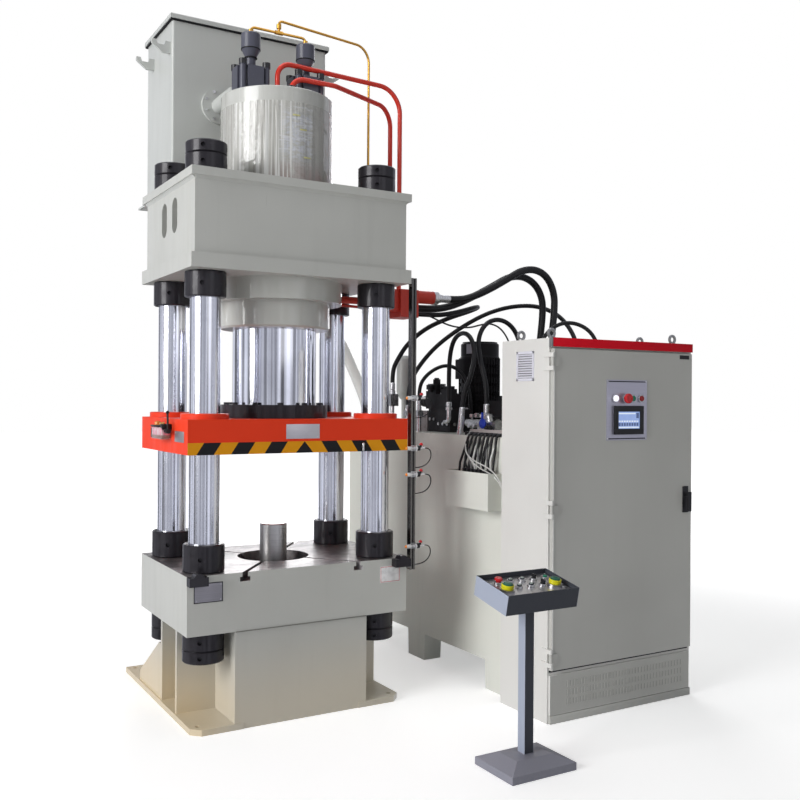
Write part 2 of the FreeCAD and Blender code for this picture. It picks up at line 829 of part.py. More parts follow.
def crown():
    body_x = crown_half_x - crown_inset
    body_y = crown_half_y - crown_inset + 1
    body_low = crown_bottom + crown_lower_flange
    body_high = crown_top - crown_top_flange
    lower = block(-crown_half_x, crown_half_x, -crown_half_y, crown_half_y, crown_bottom, body_low)
    top = block(-crown_half_x, crown_half_x, -crown_half_y, crown_half_y, body_high, crown_top)
    inner_x = body_x - crown_wall
    walls = block(-inner_x, inner_x, -body_y, body_y, body_low, body_high)
    room = block(-inner_x, inner_x, -body_y + crown_wall, body_y - crown_wall, body_low, body_high)
    left_end = block(-body_x, -inner_x, -body_y, body_y, body_low, body_high)
    right_end = block(inner_x, body_x, -body_y, body_y, body_low, body_high)
    barrel_radius = cylinder_bore + cylinder_wall
    keep = column_bosses(body_low, body_high)
    keep.append(post(0, 0, body_low, body_high, barrel_radius + crown_tube_wall))
    shell = without(walls, [without(room, keep)])
    weld_low = body_high - crown_weld
    plates = [lower, top]
    for side, end in ((-1, left_end), (1, right_end)):
        weld = slab([(side * body_x, -body_y, weld_low), (side * (body_x + crown_weld), -body_y, body_high),
                     (side * body_x, -body_y, body_high)], (0, 2 * body_y, 0))
        plates.append(joined([end, weld]))
        shell = shell.fuse(slab([(-body_x, side * body_y, weld_low), (-body_x, side * (body_y + crown_weld), body_high),
                                 (-body_x, side * body_y, body_high)], (2 * body_x, 0, 0)))
    plates.append(shell.removeSplitter())
    cuts = column_holes(crown_bottom, crown_top)
    cuts.append(post(0, 0, crown_bottom, crown_top, barrel_radius + thin_gap))
    half = side_slot_width / 2
    for side in (-1, 1):
        x0 = side * (body_x - crown_wall / 2) - crown_wall
        x1 = x0 + 2 * crown_wall
        for y in (-side_slot_y, side_slot_y):
            cuts.append(block(x0, x1, y - half, y + half, side_slot_low + half, side_slot_high - half))
            cuts.append(bar((x0, y, side_slot_low + half), (x1, y, side_slot_low + half), half))
            cuts.append(bar((x0, y, side_slot_high - half), (x1, y, side_slot_high - half), half))
    save("crown_beam", [without(plate, cuts) for plate in plates])


def cylinder():
    ring_low = crown_bottom - cylinder_ring_height
    barrel = cylinder_bore + cylinder_wall
    neck = cylinder_bore + cylinder_head_wall
    profile = [(cylinder_bore, ring_low), (cylinder_ring_radius, ring_low), (cylinder_ring_radius, crown_bottom),
               (barrel, crown_bottom), (barrel, crown_top), (neck, crown_top), (neck, cylinder_end + cylinder_cap),
               (0, cylinder_end + cylinder_cap), (0, cylinder_end), (cylinder_bore, cylinder_end)]
    save("main_cylinder", [turned(profile, (0, 0, 0))])
    gland_low = ring_low - gland_height
    gland = [(ram_radius + sliding_gap, gland_low), (gland_radius - 10, gland_low), (gland_radius, gland_low + 10),
             (gland_radius, ring_low), (ram_radius + sliding_gap, ring_low)]
    save("cylinder_gland", [turned(gland, (0, 0, 0))])


def ram_and_flange():
    profile = [(0, slide_top), (ram_radius, slide_top), (ram_radius, ram_top - 15), (ram_radius - 15, ram_top),
               (0, ram_top)]
    save("ram", [turned(profile, (0, 0, 0))])
    flange_top = slide_top + ram_flange_height
    ring = turned([(ram_radius, slide_top), (ram_flange_radius, slide_top), (ram_flange_radius, flange_top),
                   (ram_radius, flange_top)], (0, 0, 0))
    halves = []
    for side in (-1, 1):
        x0, x1 = sorted((side * ram_flange_split / 2, side * (ram_flange_radius + 1)))
        keep = block(x0, x1, -ram_flange_radius - 1, ram_flange_radius + 1, slide_top, flange_top)
        heads = []
        for index in range(ram_bolt_count // 2):
            angle = math.radians((index + 0.5) * 360.0 / ram_bolt_count - 90)
            x = side * ram_bolt_circle * math.cos(angle)
            y = ram_bolt_circle * math.sin(angle)
            heads.append(post(x, y, flange_top, flange_top + ram_bolt_head, ram_bolt_radius))
        halves.append(joined([ring.common(keep)] + heads))
    save("ram_flange", halves)


def slide():
    outer = block(-slide_half_x, slide_half_x, -slide_half_y, slide_half_y, slide_bottom, slide_top)
    room_low = slide_bottom + slide_bottom_plate
    room_high = slide_top - slide_top_plate
    room = block(-slide_half_x + slide_wall, slide_half_x - slide_wall, -slide_half_y + slide_wall,
                 slide_half_y - slide_wall, room_low, room_high)
    sleeve = column_radius + sliding_gap + bush_wall
    keep = [post(x, y, room_low, room_high, sleeve + slide_wall) for x, y in column_places()]
    keep.append(post(0, 0, room_low, room_high, ram_radius))
    shape = without(outer, [without(room, keep)])
    holes = [post(x, y, slide_bottom, slide_top, sleeve) for x, y in column_places()]
    save("slide_beam", [without(shape, holes)])
    bore = column_radius + sliding_gap
    bushes = []
    for x, y in column_places():
        profile = [(bore, slide_bottom), (sleeve, slide_bottom), (sleeve, slide_top), (bush_flange_radius, slide_top),
                   (bush_flange_radius, slide_top + bush_flange_height - 4),
                   (bush_flange_radius - 4, slide_top + bush_flange_height),
                   (bore, slide_top + bush_flange_height)]
        bushes.append(turned(profile, (x, y, 0)))
    save("guide_bushes", bushes)


def ejector():
    body = ejector_bore + ejector_wall
    flange_low = bed_bottom - ejector_flange_height
    collar_top = bed_bottom + ejector_collar_height
    guide = ejector_radius + sliding_gap
    profile = [(0, ejector_cylinder_foot), (body, ejector_cylinder_foot), (body, flange_low),
               (ejector_flange_radius, flange_low), (ejector_flange_radius, bed_bottom), (body, bed_bottom),
               (body, collar_top), (guide, collar_top), (guide, bed_bottom), (ejector_bore, bed_bottom),
               (ejector_bore, ejector_cylinder_foot + ejector_end_plate),
               (0, ejector_cylinder_foot + ejector_end_plate)]
    save("ejector_cylinder", [turned(profile, (0, 0, 0))])
    foot = ejector_top - ejector_length
    piston = ejector_bore - sliding_gap
    rod = [(0, foot), (piston, foot), (piston, foot + ejector_piston_height),
           (ejector_radius, foot + ejector_piston_height), (ejector_radius, ejector_top - 4),
           (ejector_radius - 4, ejector_top), (0, ejector_top)]
    save("ejector_rod", [turned(rod, (0, 0, 0))])


def drum():
    top_low = drum_top - drum_lid
    profile = [(drum_radius - drum_wall, crown_top), (drum_radius, crown_top), (drum_radius, drum_top - 4),
               (drum_radius - 4, drum_top), (0, drum_top), (0, top_low), (drum_radius - drum_wall, top_low)]
    save("prefill_drum", [turned(profile, (drum_x, 0, 0))])


def filling_valves():
    valves = []
    bolts = []
    half_x = valve_width / 2
    half_y = valve_depth / 2
    block_top = drum_top + valve_height
    neck_top = block_top + valve_neck_height
    dome_low = neck_top + valve_cone_height
    dome_top = dome_low + valve_dome_height
    for x in valve_places:
        body = block(x - half_x, x + half_x, -half_y, half_y, drum_top, block_top)
        corners = [(x + side_x * (half_x - valve_bolt_inset), side_y * (half_y - valve_bolt_inset))
                   for side_x in (-1, 1) for side_y in (-1, 1)]
        notches = [post(cx, cy, drum_top, block_top, valve_bolt_inset) for cx, cy in corners]
        for cx, cy in corners:
            reach_x = valve_bolt_inset * (1 if cx > x else -1)
            reach_y = valve_bolt_inset * (1 if cy > 0 else -1)
            x0, x1 = sorted((cx, cx + reach_x))
            y0, y1 = sorted((cy - reach_y, cy + reach_y))
            notches.append(block(x0, x1, y0, y1, drum_top, block_top))
            y0, y1 = sorted((cy, cy + reach_y))
            x0, x1 = sorted((cx - reach_x, cx + reach_x))
            notches.append(block(x0, x1, y0, y1, drum_top, block_top))
            shank = post(cx, cy, drum_top, block_top, valve_bolt_radius)
            head = post(cx, cy, block_top, block_top + valve_bolt_head, valve_bolt_head_radius)
            bolts.append(shank.fuse(head))
        dome = [(0, block_top), (valve_neck_radius, block_top), (valve_neck_radius, neck_top),
                (valve_dome_radius, dome_low), (valve_dome_radius, dome_top - 6), (valve_dome_radius - 6, dome_top),
                (0, dome_top)]
        valves.append(joined([without(body, notches), turned(dome, (x, 0, 0))]))
    save("prefill_valves", valves)
    save("valve_bolts", bolts)


def pilot_pipe():
    left, right = valve_places
    dome_top = drum_top + valve_height + valve_neck_height + valve_cone_height + valve_dome_height
    low_run = dome_top + pilot_rise
    high_run = low_run + pilot_branch_rise
    bridge = tube([(left, 0, dome_top), (left, 0, low_run), (right, 0, low_run), (right, 0, dome_top)],
                  pilot_diameter, [pilot_bend, pilot_bend])
    drop = tube([(pilot_tee_x, 0, low_run), (pilot_tee_x, 0, high_run), (pilot_drop_x, pilot_drop_y, high_run),
                 (pilot_drop_x, pilot_drop_y, manifold_feed_z), (manifold_x0, pilot_drop_y, manifold_feed_z)],
                pilot_diameter, [pilot_bend, pilot_drop_bend, pilot_bend])
    tee_low = low_run + pilot_tee_half
    nuts = [post(left, 0, dome_top, dome_top + pilot_nut_length, pilot_nut_radius),
            post(right, 0, dome_top, dome_top + pilot_nut_length, pilot_nut_radius),
            post(pilot_tee_x, 0, tee_low, tee_low + pilot_nut_length, pilot_nut_radius),
            bar((pilot_tee_x - pilot_tee_half, 0, low_run), (pilot_tee_x + pilot_tee_half, 0, low_run),
                pilot_nut_radius - 2),
            bar((manifold_x0 - pilot_nut_length, pilot_drop_y, manifold_feed_z),
                (manifold_x0, pilot_drop_y, manifold_feed_z), pilot_nut_radius)]
    save("pilot_pipe", [joined([bridge, drop] + nuts)])


def supply_pipes():
    high = tube([(supply_high_x, supply_high_y, drum_top), (supply_high_x, supply_high_y, supply_high_run),
                 (supply_drop_x, supply_drop_y, supply_high_run), (supply_drop_x, supply_drop_y, manifold_z1)],
                supply_diameter, [supply_bend, supply_high_bend])
    low_drop_x = supply_drop_x + supply_low_shift_x
    low_drop_y = supply_drop_y + supply_low_shift_y
    low = tube([(supply_low_x, supply_low_y, drum_top), (supply_low_x, supply_low_y, supply_low_run),
                (supply_pass_x, supply_low_y, supply_low_run), (low_drop_x, low_drop_y, supply_low_run),
                (low_drop_x, low_drop_y, manifold_z1)], supply_diameter, [supply_bend, supply_bend, supply_low_bend])
    pipes = []
    for pipe, x, y in ((high, supply_high_x, supply_high_y), (low, supply_low_x, supply_low_y)):
        pipes.append(pipe.fuse(post(x, y, drum_top, drum_top + supply_nut_height, supply_nut_radius)))
    save("supply_pipes", pipes)


def manifold():
    shoulder_x = manifold_x0 + manifold_shoulder
    ring_x = cylinder_ring_radius - ring_bite
    body = block(shoulder_x, manifold_x1, manifold_y0, manifold_y1, manifold_z0, manifold_z1)
    shoulder = block(manifold_x0, shoulder_x, manifold_y0 + manifold_shoulder_y, manifold_y1,
                     manifold_feed_z - manifold_shoulder_drop, manifold_z1)
    feed = bar((ring_x, 0, manifold_feed_z), (manifold_x0, 0, manifold_feed_z), manifold_feed_radius)
    leak = bar((ring_x, manifold_leak_y, manifold_leak_z), (manifold_x0, manifold_leak_y, manifold_leak_in_z),
               manifold_leak_radius)
    coupling = bar((manifold_x1, 0, coupling_z), (manifold_x1 + coupling_length, 0, coupling_z), coupling_radius)
    ring = post(0, 0, manifold_z0, manifold_z1, cylinder_ring_radius)
    save("crown_manifold", [without(joined([body, shoulder, feed, leak, coupling]), [ring])])


def head_tank():
    outer = block(tank_x0, tank_x1, tank_y0, tank_y1, tank_bottom, tank_top)
    outer = outer.makeFillet(tank_corner, [edge for edge in outer.Edges if abs(edge.tangentAt(0).z) > 0.9])
    room = block(tank_x0 + tank_wall, tank_x1 - tank_wall, tank_y0 + tank_wall, tank_y1 - tank_wall,
                 tank_bottom + tank_wall, tank_top - tank_wall)
    flange = block(tank_x0 - tank_foot_flange, tank_x1 + tank_foot_flange, tank_y0 - tank_foot_flange,
                   tank_y1 + tank_foot_flange, tank_bottom, tank_bottom + tank_foot_thickness)
    hooks = []
    for side, face_x in ((-1, tank_x0), (1, tank_x1)):
        for y in hook_places:
            slope = -hook_height * hook_slope
            outline = [(0, -hook_height), (hook_reach * hook_root, -hook_height), (hook_reach, slope),
                       (hook_reach, 0), (hook_reach * hook_tip, 0), (hook_reach * hook_notch, slope),
                       (hook_reach * hook_slope, slope), (hook_reach * hook_rise, 0), (0, 0)]
            points = [(face_x + side * across, y - hook_plate / 2, hook_z + up) for across, up in outline]
            hooks.append(slab(points, (0, hook_plate, 0)))
    save("head_tank", [without(joined([outer, flange] + hooks), [room])])
    lid = block(tank_x0 - lid_overhang, tank_x1 + lid_overhang, tank_y0 - lid_overhang, tank_y1 + lid_overhang,
                tank_top, tank_top + lid_thickness)
    save("head_tank_lid", [lid.makeChamfer(lid_chamfer, [edge for edge in lid.Edges if edge.BoundBox.ZMin > tank_top + 1])])


def tank_bracket():
    brackets = []
    body_back = crown_half_y - crown_inset + 1
    for side in (-1, 1):
        x0 = side * bearer_x - bearer_width / 2
        bearer = block(x0, x0 + bearer_width, bearer_front, tank_y1 + tank_foot_flange, crown_top, tank_bottom)
        x0 = side * bearer_x - bracket_plate / 2
        top_low = crown_top - crown_top_flange
        outline = [(x0, body_back, bracket_foot), (x0, body_back, top_low - crown_weld),
                   (x0, body_back + crown_weld, top_low), (x0, crown_half_y, top_low), (x0, crown_half_y, crown_top),
                   (x0, bracket_nose_y, crown_top), (x0, bracket_nose_y, bracket_nose),
                   (x0, body_back + bracket_foot_depth, bracket_foot)]
        brackets.append(joined([bearer, slab(outline, (bracket_plate, 0, 0))]))
    save("tank_bracket", brackets)


def filling_pipe():
    shape = tube([(filling_x, tank_y0, filling_z), (filling_x, filling_drop_y, filling_z),
                  (filling_x, filling_drop_y, drum_top)], 2 * filling_radius, [filling_bend] * 1)
    flange = bar((filling_x, tank_y0 - filling_flange, filling_z), (filling_x, tank_y0, filling_z),
                 filling_flange_radius)
    save("filling_pipe", [joined([shape, flange])])


def stop_blocks():
    shapes = []
    z0 = bed_top - stop_height
    for side in (-1, 1):
        x0, x1 = sorted((side * stop_half_x, side * (stop_half_x - stop_width)))
        middle = (x0 + x1) / 2
        body = block(x0, x1, -bed_half_y - stop_depth, -bed_half_y, z0, bed_top)
        boss = bar((middle, -bed_half_y - stop_depth, bed_top - 6), (middle, -bed_half_y, bed_top - 6),
                   stop_boss_radius)
        shapes.append(joined([body, boss]))
    save("corner_blocks", shapes)


def limit_rail():
    rail_x1 = rail_x0 + rail_width
    rail_y1 = rail_y0 + rail_depth
    rail = block(rail_x0, rail_x1, rail_y0, rail_y1, rail_bottom, rail_top)
    groove = block(rail_x0 + rail_groove_wall, rail_x1 - rail_groove_wall, rail_y0 - 1, rail_y0 + rail_groove_depth,
                   rail_bottom - 1, rail_top + 1)
    clamp_low = rail_bottom + rail_clamp_rise
    clamps = [block(bed_half_x, rail_x0, rail_y0, rail_y1, clamp_low, clamp_low + rail_clamp),
              block(crown_half_x, rail_x0, rail_y0, rail_y1, rail_top - rail_top_clamp, rail_top)]
    save("limit_rail", [without(joined([rail] + clamps), [groove])])
    switches = []
    cables = []
    rail_middle = rail_x0 + rail_width / 2
    for z in switch_heights:
        bracket = block(rail_middle - switch_bracket / 2, rail_middle + switch_bracket / 2,
                        switch_y - switch_bracket_reach, rail_y0, z - switch_half_height, z + switch_half_height)
        foot = block(rail_x0, rail_x1, rail_y0 - switch_foot, rail_y0, z - switch_half_height,
                     z + switch_half_height)
        body = bar((switch_x0, switch_y, z), (switch_x0 + switch_length, switch_y, z), switch_radius)
        nuts = [bar((rail_middle + step, switch_y, z), (rail_middle + step + switch_nut_length, switch_y, z),
                    switch_nut_radius)
                for step in (-switch_bracket / 2 - switch_nut_length, switch_bracket / 2)]
        switches.append(joined([bracket, foot, body] + nuts))
        exit_x = switch_x0 + switch_length
        route = [(exit_x + dx, switch_y + dy, z + dz) for dx, dy, dz in switch_cable_steps]
        cables.append(tube(route, switch_cable))
    save("limit_switches", switches)
    save("switch_cables", cables)


def grease_pump():
    face = -slide_half_x
    axis_x = face - grease_axis
    body = block(face - grease_depth, face, grease_front, grease_back, grease_low, grease_low + grease_height)
    cup = turned([(0, 0), (cup_radius - 4, 0), (cup_radius, 6), (cup_radius, cup_height - 6), (cup_radius - 6, cup_height),
                  (0, cup_height)], (axis_x, grease_back + cup_radius + 2, grease_low + 4))
    boss = bar((axis_x, grease_front, lever_z), (axis_x, grease_front - lever_boss, lever_z), lever_boss_radius)
    link = block(face - grease_link, face, grease_back, grease_back + 42, grease_low + 4, grease_low + 20)
    save("grease_pump", [joined([body, cup, boss, link])])
    hub_y = grease_front - lever_boss - wheel_gap
    arm_y = hub_y - lever_hub / 2
    top = (axis_x, arm_y + lever_lean, lever_z + lever_length)
    lever = joined([bar((axis_x, hub_y, lever_z), (axis_x, hub_y - lever_hub, lever_z), lever_boss_radius - 2),
                    bar((axis_x, arm_y, lever_z), top, lever_radius),
                    Part.makeSphere(lever_knob, FreeCAD.Vector(*top))])
    save("grease_lever", [lever])


def station_tank():
    outer = block(station_x0, station_x1, station_y0, station_y1, station_bottom, station_top)
    room = block(station_x0 + station_wall, station_x1 - station_wall, station_y0 + station_wall,
                 station_y1 - station_wall, station_bottom + station_wall, station_top - station_wall)
    feet = []
    for x0 in (station_x0, station_x1 - station_foot_width):
        for y0 in station_foot_places:
            outline = [(x0, y0 + foot_taper, 0), (x0, y0 + station_foot_length - foot_taper, 0),
                       (x0, y0 + station_foot_length, station_bottom), (x0, y0, station_bottom)]
            feet.append(slab(outline, (station_foot_width, 0, 0)))
    save("oil_tank", [without(joined([outer] + feet), [room])])
    hatch = block(*hatch_plan, station_top, station_top + hatch_height)
    save("oil_tank_cover", [hatch.makeChamfer(hatch_chamfer, [edge for edge in hatch.Edges
                                                    if edge.BoundBox.ZMin > station_top + 1])])


def motor():
    low = station_top
    fan_low = motor_top - motor_fan_height
    neck = motor_radius - motor_neck
    profile = [(0, low), (motor_flange_radius, low), (motor_flange_radius, low + motor_flange),
               (neck, low + motor_flange), (neck, low + motor_neck_height),
               (motor_radius, low + motor_shoulder_height)]
    level = low + motor_rib_start
    while level < fan_low - motor_rib_start / 2:
        profile += [(motor_radius, level), (motor_radius - motor_groove, level + motor_rib_slope),
                    (motor_radius - motor_groove, level + motor_rib_land),
                    (motor_radius, level + motor_rib_land + motor_rib_slope)]
        level += motor_rib_pitch
    cowl = motor_radius - motor_cowl_inset
    profile += [(motor_radius, fan_low - motor_cowl_step), (cowl, fan_low), (cowl, motor_top - motor_cowl_round),
                (motor_radius - motor_cowl_top, motor_top), (0, motor_top)]
    body = turned(profile, (motor_x, motor_y, 0))
    box_x = motor_x - motor_radius
    terminal = block(box_x - terminal_reach, box_x + terminal_bite, motor_y - terminal_half, motor_y + terminal_half,
                     terminal_low, terminal_high)
    save("pump_motor", [joined([body, terminal])])


def valve_tower():
    base_block = block(*valve_base_plan, station_top, valve_base_top)
    plate = block(*valve_plate_plan, valve_base_top, valve_plate_top)
    stack = block(*valve_stack_plan, valve_base_top, valve_stack_top)
    stack_x = (valve_stack_plan[0] + valve_stack_plan[1]) / 2
    coil_y = (coil_plan[2] + coil_plan[3]) / 2
    cap = post(stack_x, coil_y, coil_top, coil_top + coil_cap_height, coil_cap_radius)
    side_coil = block(*side_coil_plan, valve_plate_top, valve_plate_top + side_coil_height)
    solenoid_y = valve_stack_plan[3] - 2
    solenoid_z = valve_base_top + solenoid_rise
    solenoid = bar((stack_x, solenoid_y, solenoid_z), (stack_x, solenoid_y + solenoid_length, solenoid_z),
                   solenoid_radius)
    stack = joined([base_block, plate, stack, block(*coil_plan, valve_stack_top, coil_top), cap, side_coil, solenoid])
    save("valve_tower", [stack, block(*rear_block_plan, station_top, station_top + rear_block_height)])


def station_blocks():
    hidden = block(*manifold_block_plan, station_top, manifold_block_top)
    step = block(*manifold_step_plan, manifold_block_top, manifold_step_top)
    duct = block(duct_x0, duct_x1, trough_y0, trough_y1, station_top, station_top + duct_height)
    save("station_manifold", [joined([hidden, step]), duct])
    body = block(*ball_block_plan, station_top, station_top + ball_block_height)
    tee = bar((ball_x, ball_front, ball_z), (ball_x, ball_back, ball_z), ball_radius)
    low_pipe = bar((ball_x, ball_back, ball_z), (ball_x, ball_pipe_end, ball_z), ball_pipe_radius)
    stem = bar((ball_x, ball_y, ball_z), (ball_stem_end, ball_y, ball_z), ball_stem_radius)
    neck_up = post(ball_x, arch_route[0][1], ball_z, ball_neck_top, ball_neck_radius)
    save("ball_valve", [joined([body, tee, low_pipe, stem, neck_up])])
    wheel_x = ball_stem_end - wheel_gap
    rim = wheel_radius - wheel_chamfer
    wheel = turned([(0, 0), (rim, 0), (wheel_radius, wheel_chamfer), (wheel_radius, wheel_thickness - wheel_chamfer),
                    (rim, wheel_thickness), (0, wheel_thickness)], (wheel_x, ball_y, ball_z), (-1, 0, 0))
    grip = block(wheel_x - grip_far, wheel_x - grip_near, ball_y - grip_half, ball_y + grip_half, ball_z,
                 ball_z + grip_height)
    save("ball_valve_handle", [joined([wheel, grip])])
    neck = accumulator_neck_radius
    foot_top = station_top + accumulator_foot
    profile = [(0, station_top), (accumulator_foot_radius, station_top), (accumulator_foot_radius, foot_top),
               (neck, foot_top), (neck, accumulator_bottom - 30), (accumulator_radius * 0.6, accumulator_bottom - 20),
               (accumulator_radius, accumulator_bottom + 20), (accumulator_radius, accumulator_top - 28),
               (accumulator_radius * 0.7, accumulator_top - 6), (accumulator_radius * 0.3, accumulator_top),
               (0, accumulator_top)]
    save("accumulator", [turned(profile, (accumulator_x, accumulator_y, 0))])


def carried(route, start_x, start_z, end_z):
    # The drawn route, each point moved by its share of how far its two ends have moved
    first = FreeCAD.Vector(start_x - route[0][0], 0, start_z - route[0][2])
    last = FreeCAD.Vector(0, 0, end_z - route[-1][2])
    points = []
    for index, point in enumerate(route):
        share = min(max((index - 1) / (len(route) - 3), 0), 1)
        points.append(tuple(FreeCAD.Vector(*point) + first * (1 - share) + last * share))
    return points


def carried_routes():
    outer_x = manifold_x1 + coupling_length + coupling_flange_length + main_ferrule
    step_top = manifold_step_top
    return {
        "outer_main": carried(outer_main_route, outer_x, coupling_z, step_top + main_stand),
        "inner_main": carried(inner_main_route, inner_main_x, inner_main_z, step_top + main_stand),
        "return": carried(return_route, return_x, return_z, return_block_high + return_stand),
        "long": carried(long_route, long_route[0][0], long_block_high + long_riser_stand,
                        manifold_block_top + long_stand),
        "low": carried(low_route, low_route[0][0], low_block_high + low_riser_stand, station_top + low_stand),
        "loop": carried(loop_route, loop_route[0][0], station_top + loop_start_rise, station_top + loop_stand),
        "arch": carried(arch_route, ball_x, ball_neck_top + arch_stand, step_top + main_stand),
        "far": carried(far_route, far_route[0][0], step_top + far_stand, manifold_block_top + far_end_stand),
        "sensor": carried(sensor_route, manifold_x1, sensor_z, manifold_block_top + sensor_stand),
        "clear": carried(clear_route, clear_route[0][0], tank_bottom - outlet_reach, station_top + suction_rise)}


def ferrule(route, end, length, radius):
    # A crimped ferrule in line with a hose end, with its nut at the far side
    tip = FreeCAD.Vector(*route[end])
    inner = FreeCAD.Vector(*route[1 if end == 0 else -2])
    way = (inner - tip).normalize()
    foot = tip - way * length
    nut = min(24.0, length * 0.35)
    profile = [(0, 0), (radius * 1.12, 0), (radius * 1.12, nut), (radius * 0.8, nut + 3), (radius, nut + 7),
               (radius, length - 4), (radius - 3, length), (0, length)]
    return turned(profile, tuple(foot), tuple(way))


def hose_fittings():
    routes = carried_routes()
    main_radius = main_hose / 2 + 1
    flange_x = manifold_x1 + coupling_length
    ferrule_x = flange_x + coupling_flange_length
    step_top = manifold_step_top
    shapes = [bar((flange_x, 0, coupling_z), (ferrule_x, 0, coupling_z), coupling_flange_radius)]
    ends = [("outer_main", ferrule_x, main_radius), ("inner_main", manifold_x1, main_radius),
            ("return", manifold_x1, return_hose / 2 + 2)]
    for name, face_x, radius in ends:
        shapes.append(ferrule(routes[name], 0, routes[name][0][0] - face_x, radius))
    ends = [("outer_main", -1, step_top, main_radius), ("inner_main", -1, step_top, main_radius),
            ("long", -1, manifold_block_top, station_ferrule), ("arch", -1, step_top, station_ferrule),
            ("far", 0, step_top, small_ferrule), ("far", -1, manifold_block_top, small_ferrule),
            ("sensor", -1, manifold_block_top, sensor_ferrule), ("low", -1, station_top, small_ferrule),
            ("loop", -1, station_top, station_ferrule), ("arch", 0, ball_neck_top, station_ferrule)]
    for name, end, face_z, radius in ends:
        shapes.append(ferrule(routes[name], end, routes[name][end][2] - face_z, radius))
    x, y, z = routes["loop"][0]
    elbow_top = z - elbow_drop
    turn_y = y + elbow_back
    elbow = tube([(x, y, elbow_top), (x, y, ball_z), (x, turn_y, ball_z), (valve_base_plan[0], turn_y, ball_z)],
                 elbow_diameter, [elbow_bend] * 2)
    shapes.append(joined([elbow, ferrule(routes["loop"], 0, elbow_drop, station_ferrule)]))
    risers = (("return", -1, return_block_half, return_block_low, return_block_high, return_ferrule),
              ("long", 0, long_block_half, riser_block_low, long_block_high, station_ferrule),
              ("low", 0, low_block_half, riser_block_low, low_block_high, small_ferrule - 1))
    for name, end, half, low, high, radius in risers:
        x, y, z = routes[name][end]
        shapes.append(joined([post(x, y, station_top, low, riser_radius),
                              block(x - half, x + half, y - half, y + half, low, high),
                              ferrule(routes[name], end, z - high, radius)]))
    x, y, z = routes["clear"][-1]
    near = FreeCAD.Vector(*routes["clear"][-2])
    tip = FreeCAD.Vector(x, y, z)
    way = (tip - near).normalize()
    foot = tip + way * ((z - station_top) / abs(way.z))
    under = station_top - suction_under
    stub = bar((x, y, z), tuple(foot + way * suction_bite), suction_radius)
    stub = stub.cut(block(x - suction_under, x + suction_under, y - suction_under, y + suction_under, under, station_top))
    collar = post(foot.x, foot.y, station_top, station_top + suction_flange, suction_flange_radius)
    x, y, z = routes["clear"][0]
    reach = tank_bottom - z
    outlet = turned([(0, 0), (outlet_flange_radius, 0), (outlet_flange_radius, suction_flange),
                     (suction_radius, suction_flange), (suction_radius, reach), (0, reach)],
                    (x, y, tank_bottom), (0, 0, -1))
    save("hose_fittings", shapes + [joined([stub, collar]), outlet])


def free_hoses():
    routes = carried_routes()
    save("main_hoses", [tube(routes["outer_main"], main_hose), tube(routes["inner_main"], main_hose)])
    pairs = (("return", return_hose), ("long", station_hose), ("low", small_hose), ("loop", station_hose),
             ("arch", station_hose), ("far", small_hose))
    save("station_hoses", [tube(routes[name], diameter) for name, diameter in pairs])
    save("sensor_cable", [tube(routes["sensor"], sensor_cable)])
    save("clear_hose", [tube(routes["clear"], clear_hose)])


def trough():
    outer = block(trough_x0, station_x0, trough_y0, trough_y1, trough_z0, trough_z1)
    room = block(trough_x0 + trough_wall, station_x0 - trough_wall, trough_y0 + trough_wall, trough_y1 - trough_wall,
                 trough_z0 + trough_wall, trough_z1 + 1)
    save("cable_trough", [without(outer, [room])])
    cables = []
    spread = (trough_y1 - trough_y0 - 2 * trough_margin) / (cable_count - 1)
    reach = station_x0 - 2 * cable_radius - cable_stand_off
    lie = station_top + cable_radius + 1
    for index in range(cable_count):
        y = trough_y0 + trough_margin + index * spread
        top_y = (y - trough_y0) * cable_gather + trough_y0 - cable_stand_off
        route = [(duct_x0, top_y, lie), (reach, top_y, lie), (reach - cable_bow, y, trough_z1 + cable_entry),
                 (reach - 2 * cable_bow, y, trough_z0 + trough_wall + cable_end)]
        cables.append(tube(route, 2 * cable_radius, [2.2 * cable_radius] * 2))
    save("trough_cables", cables)


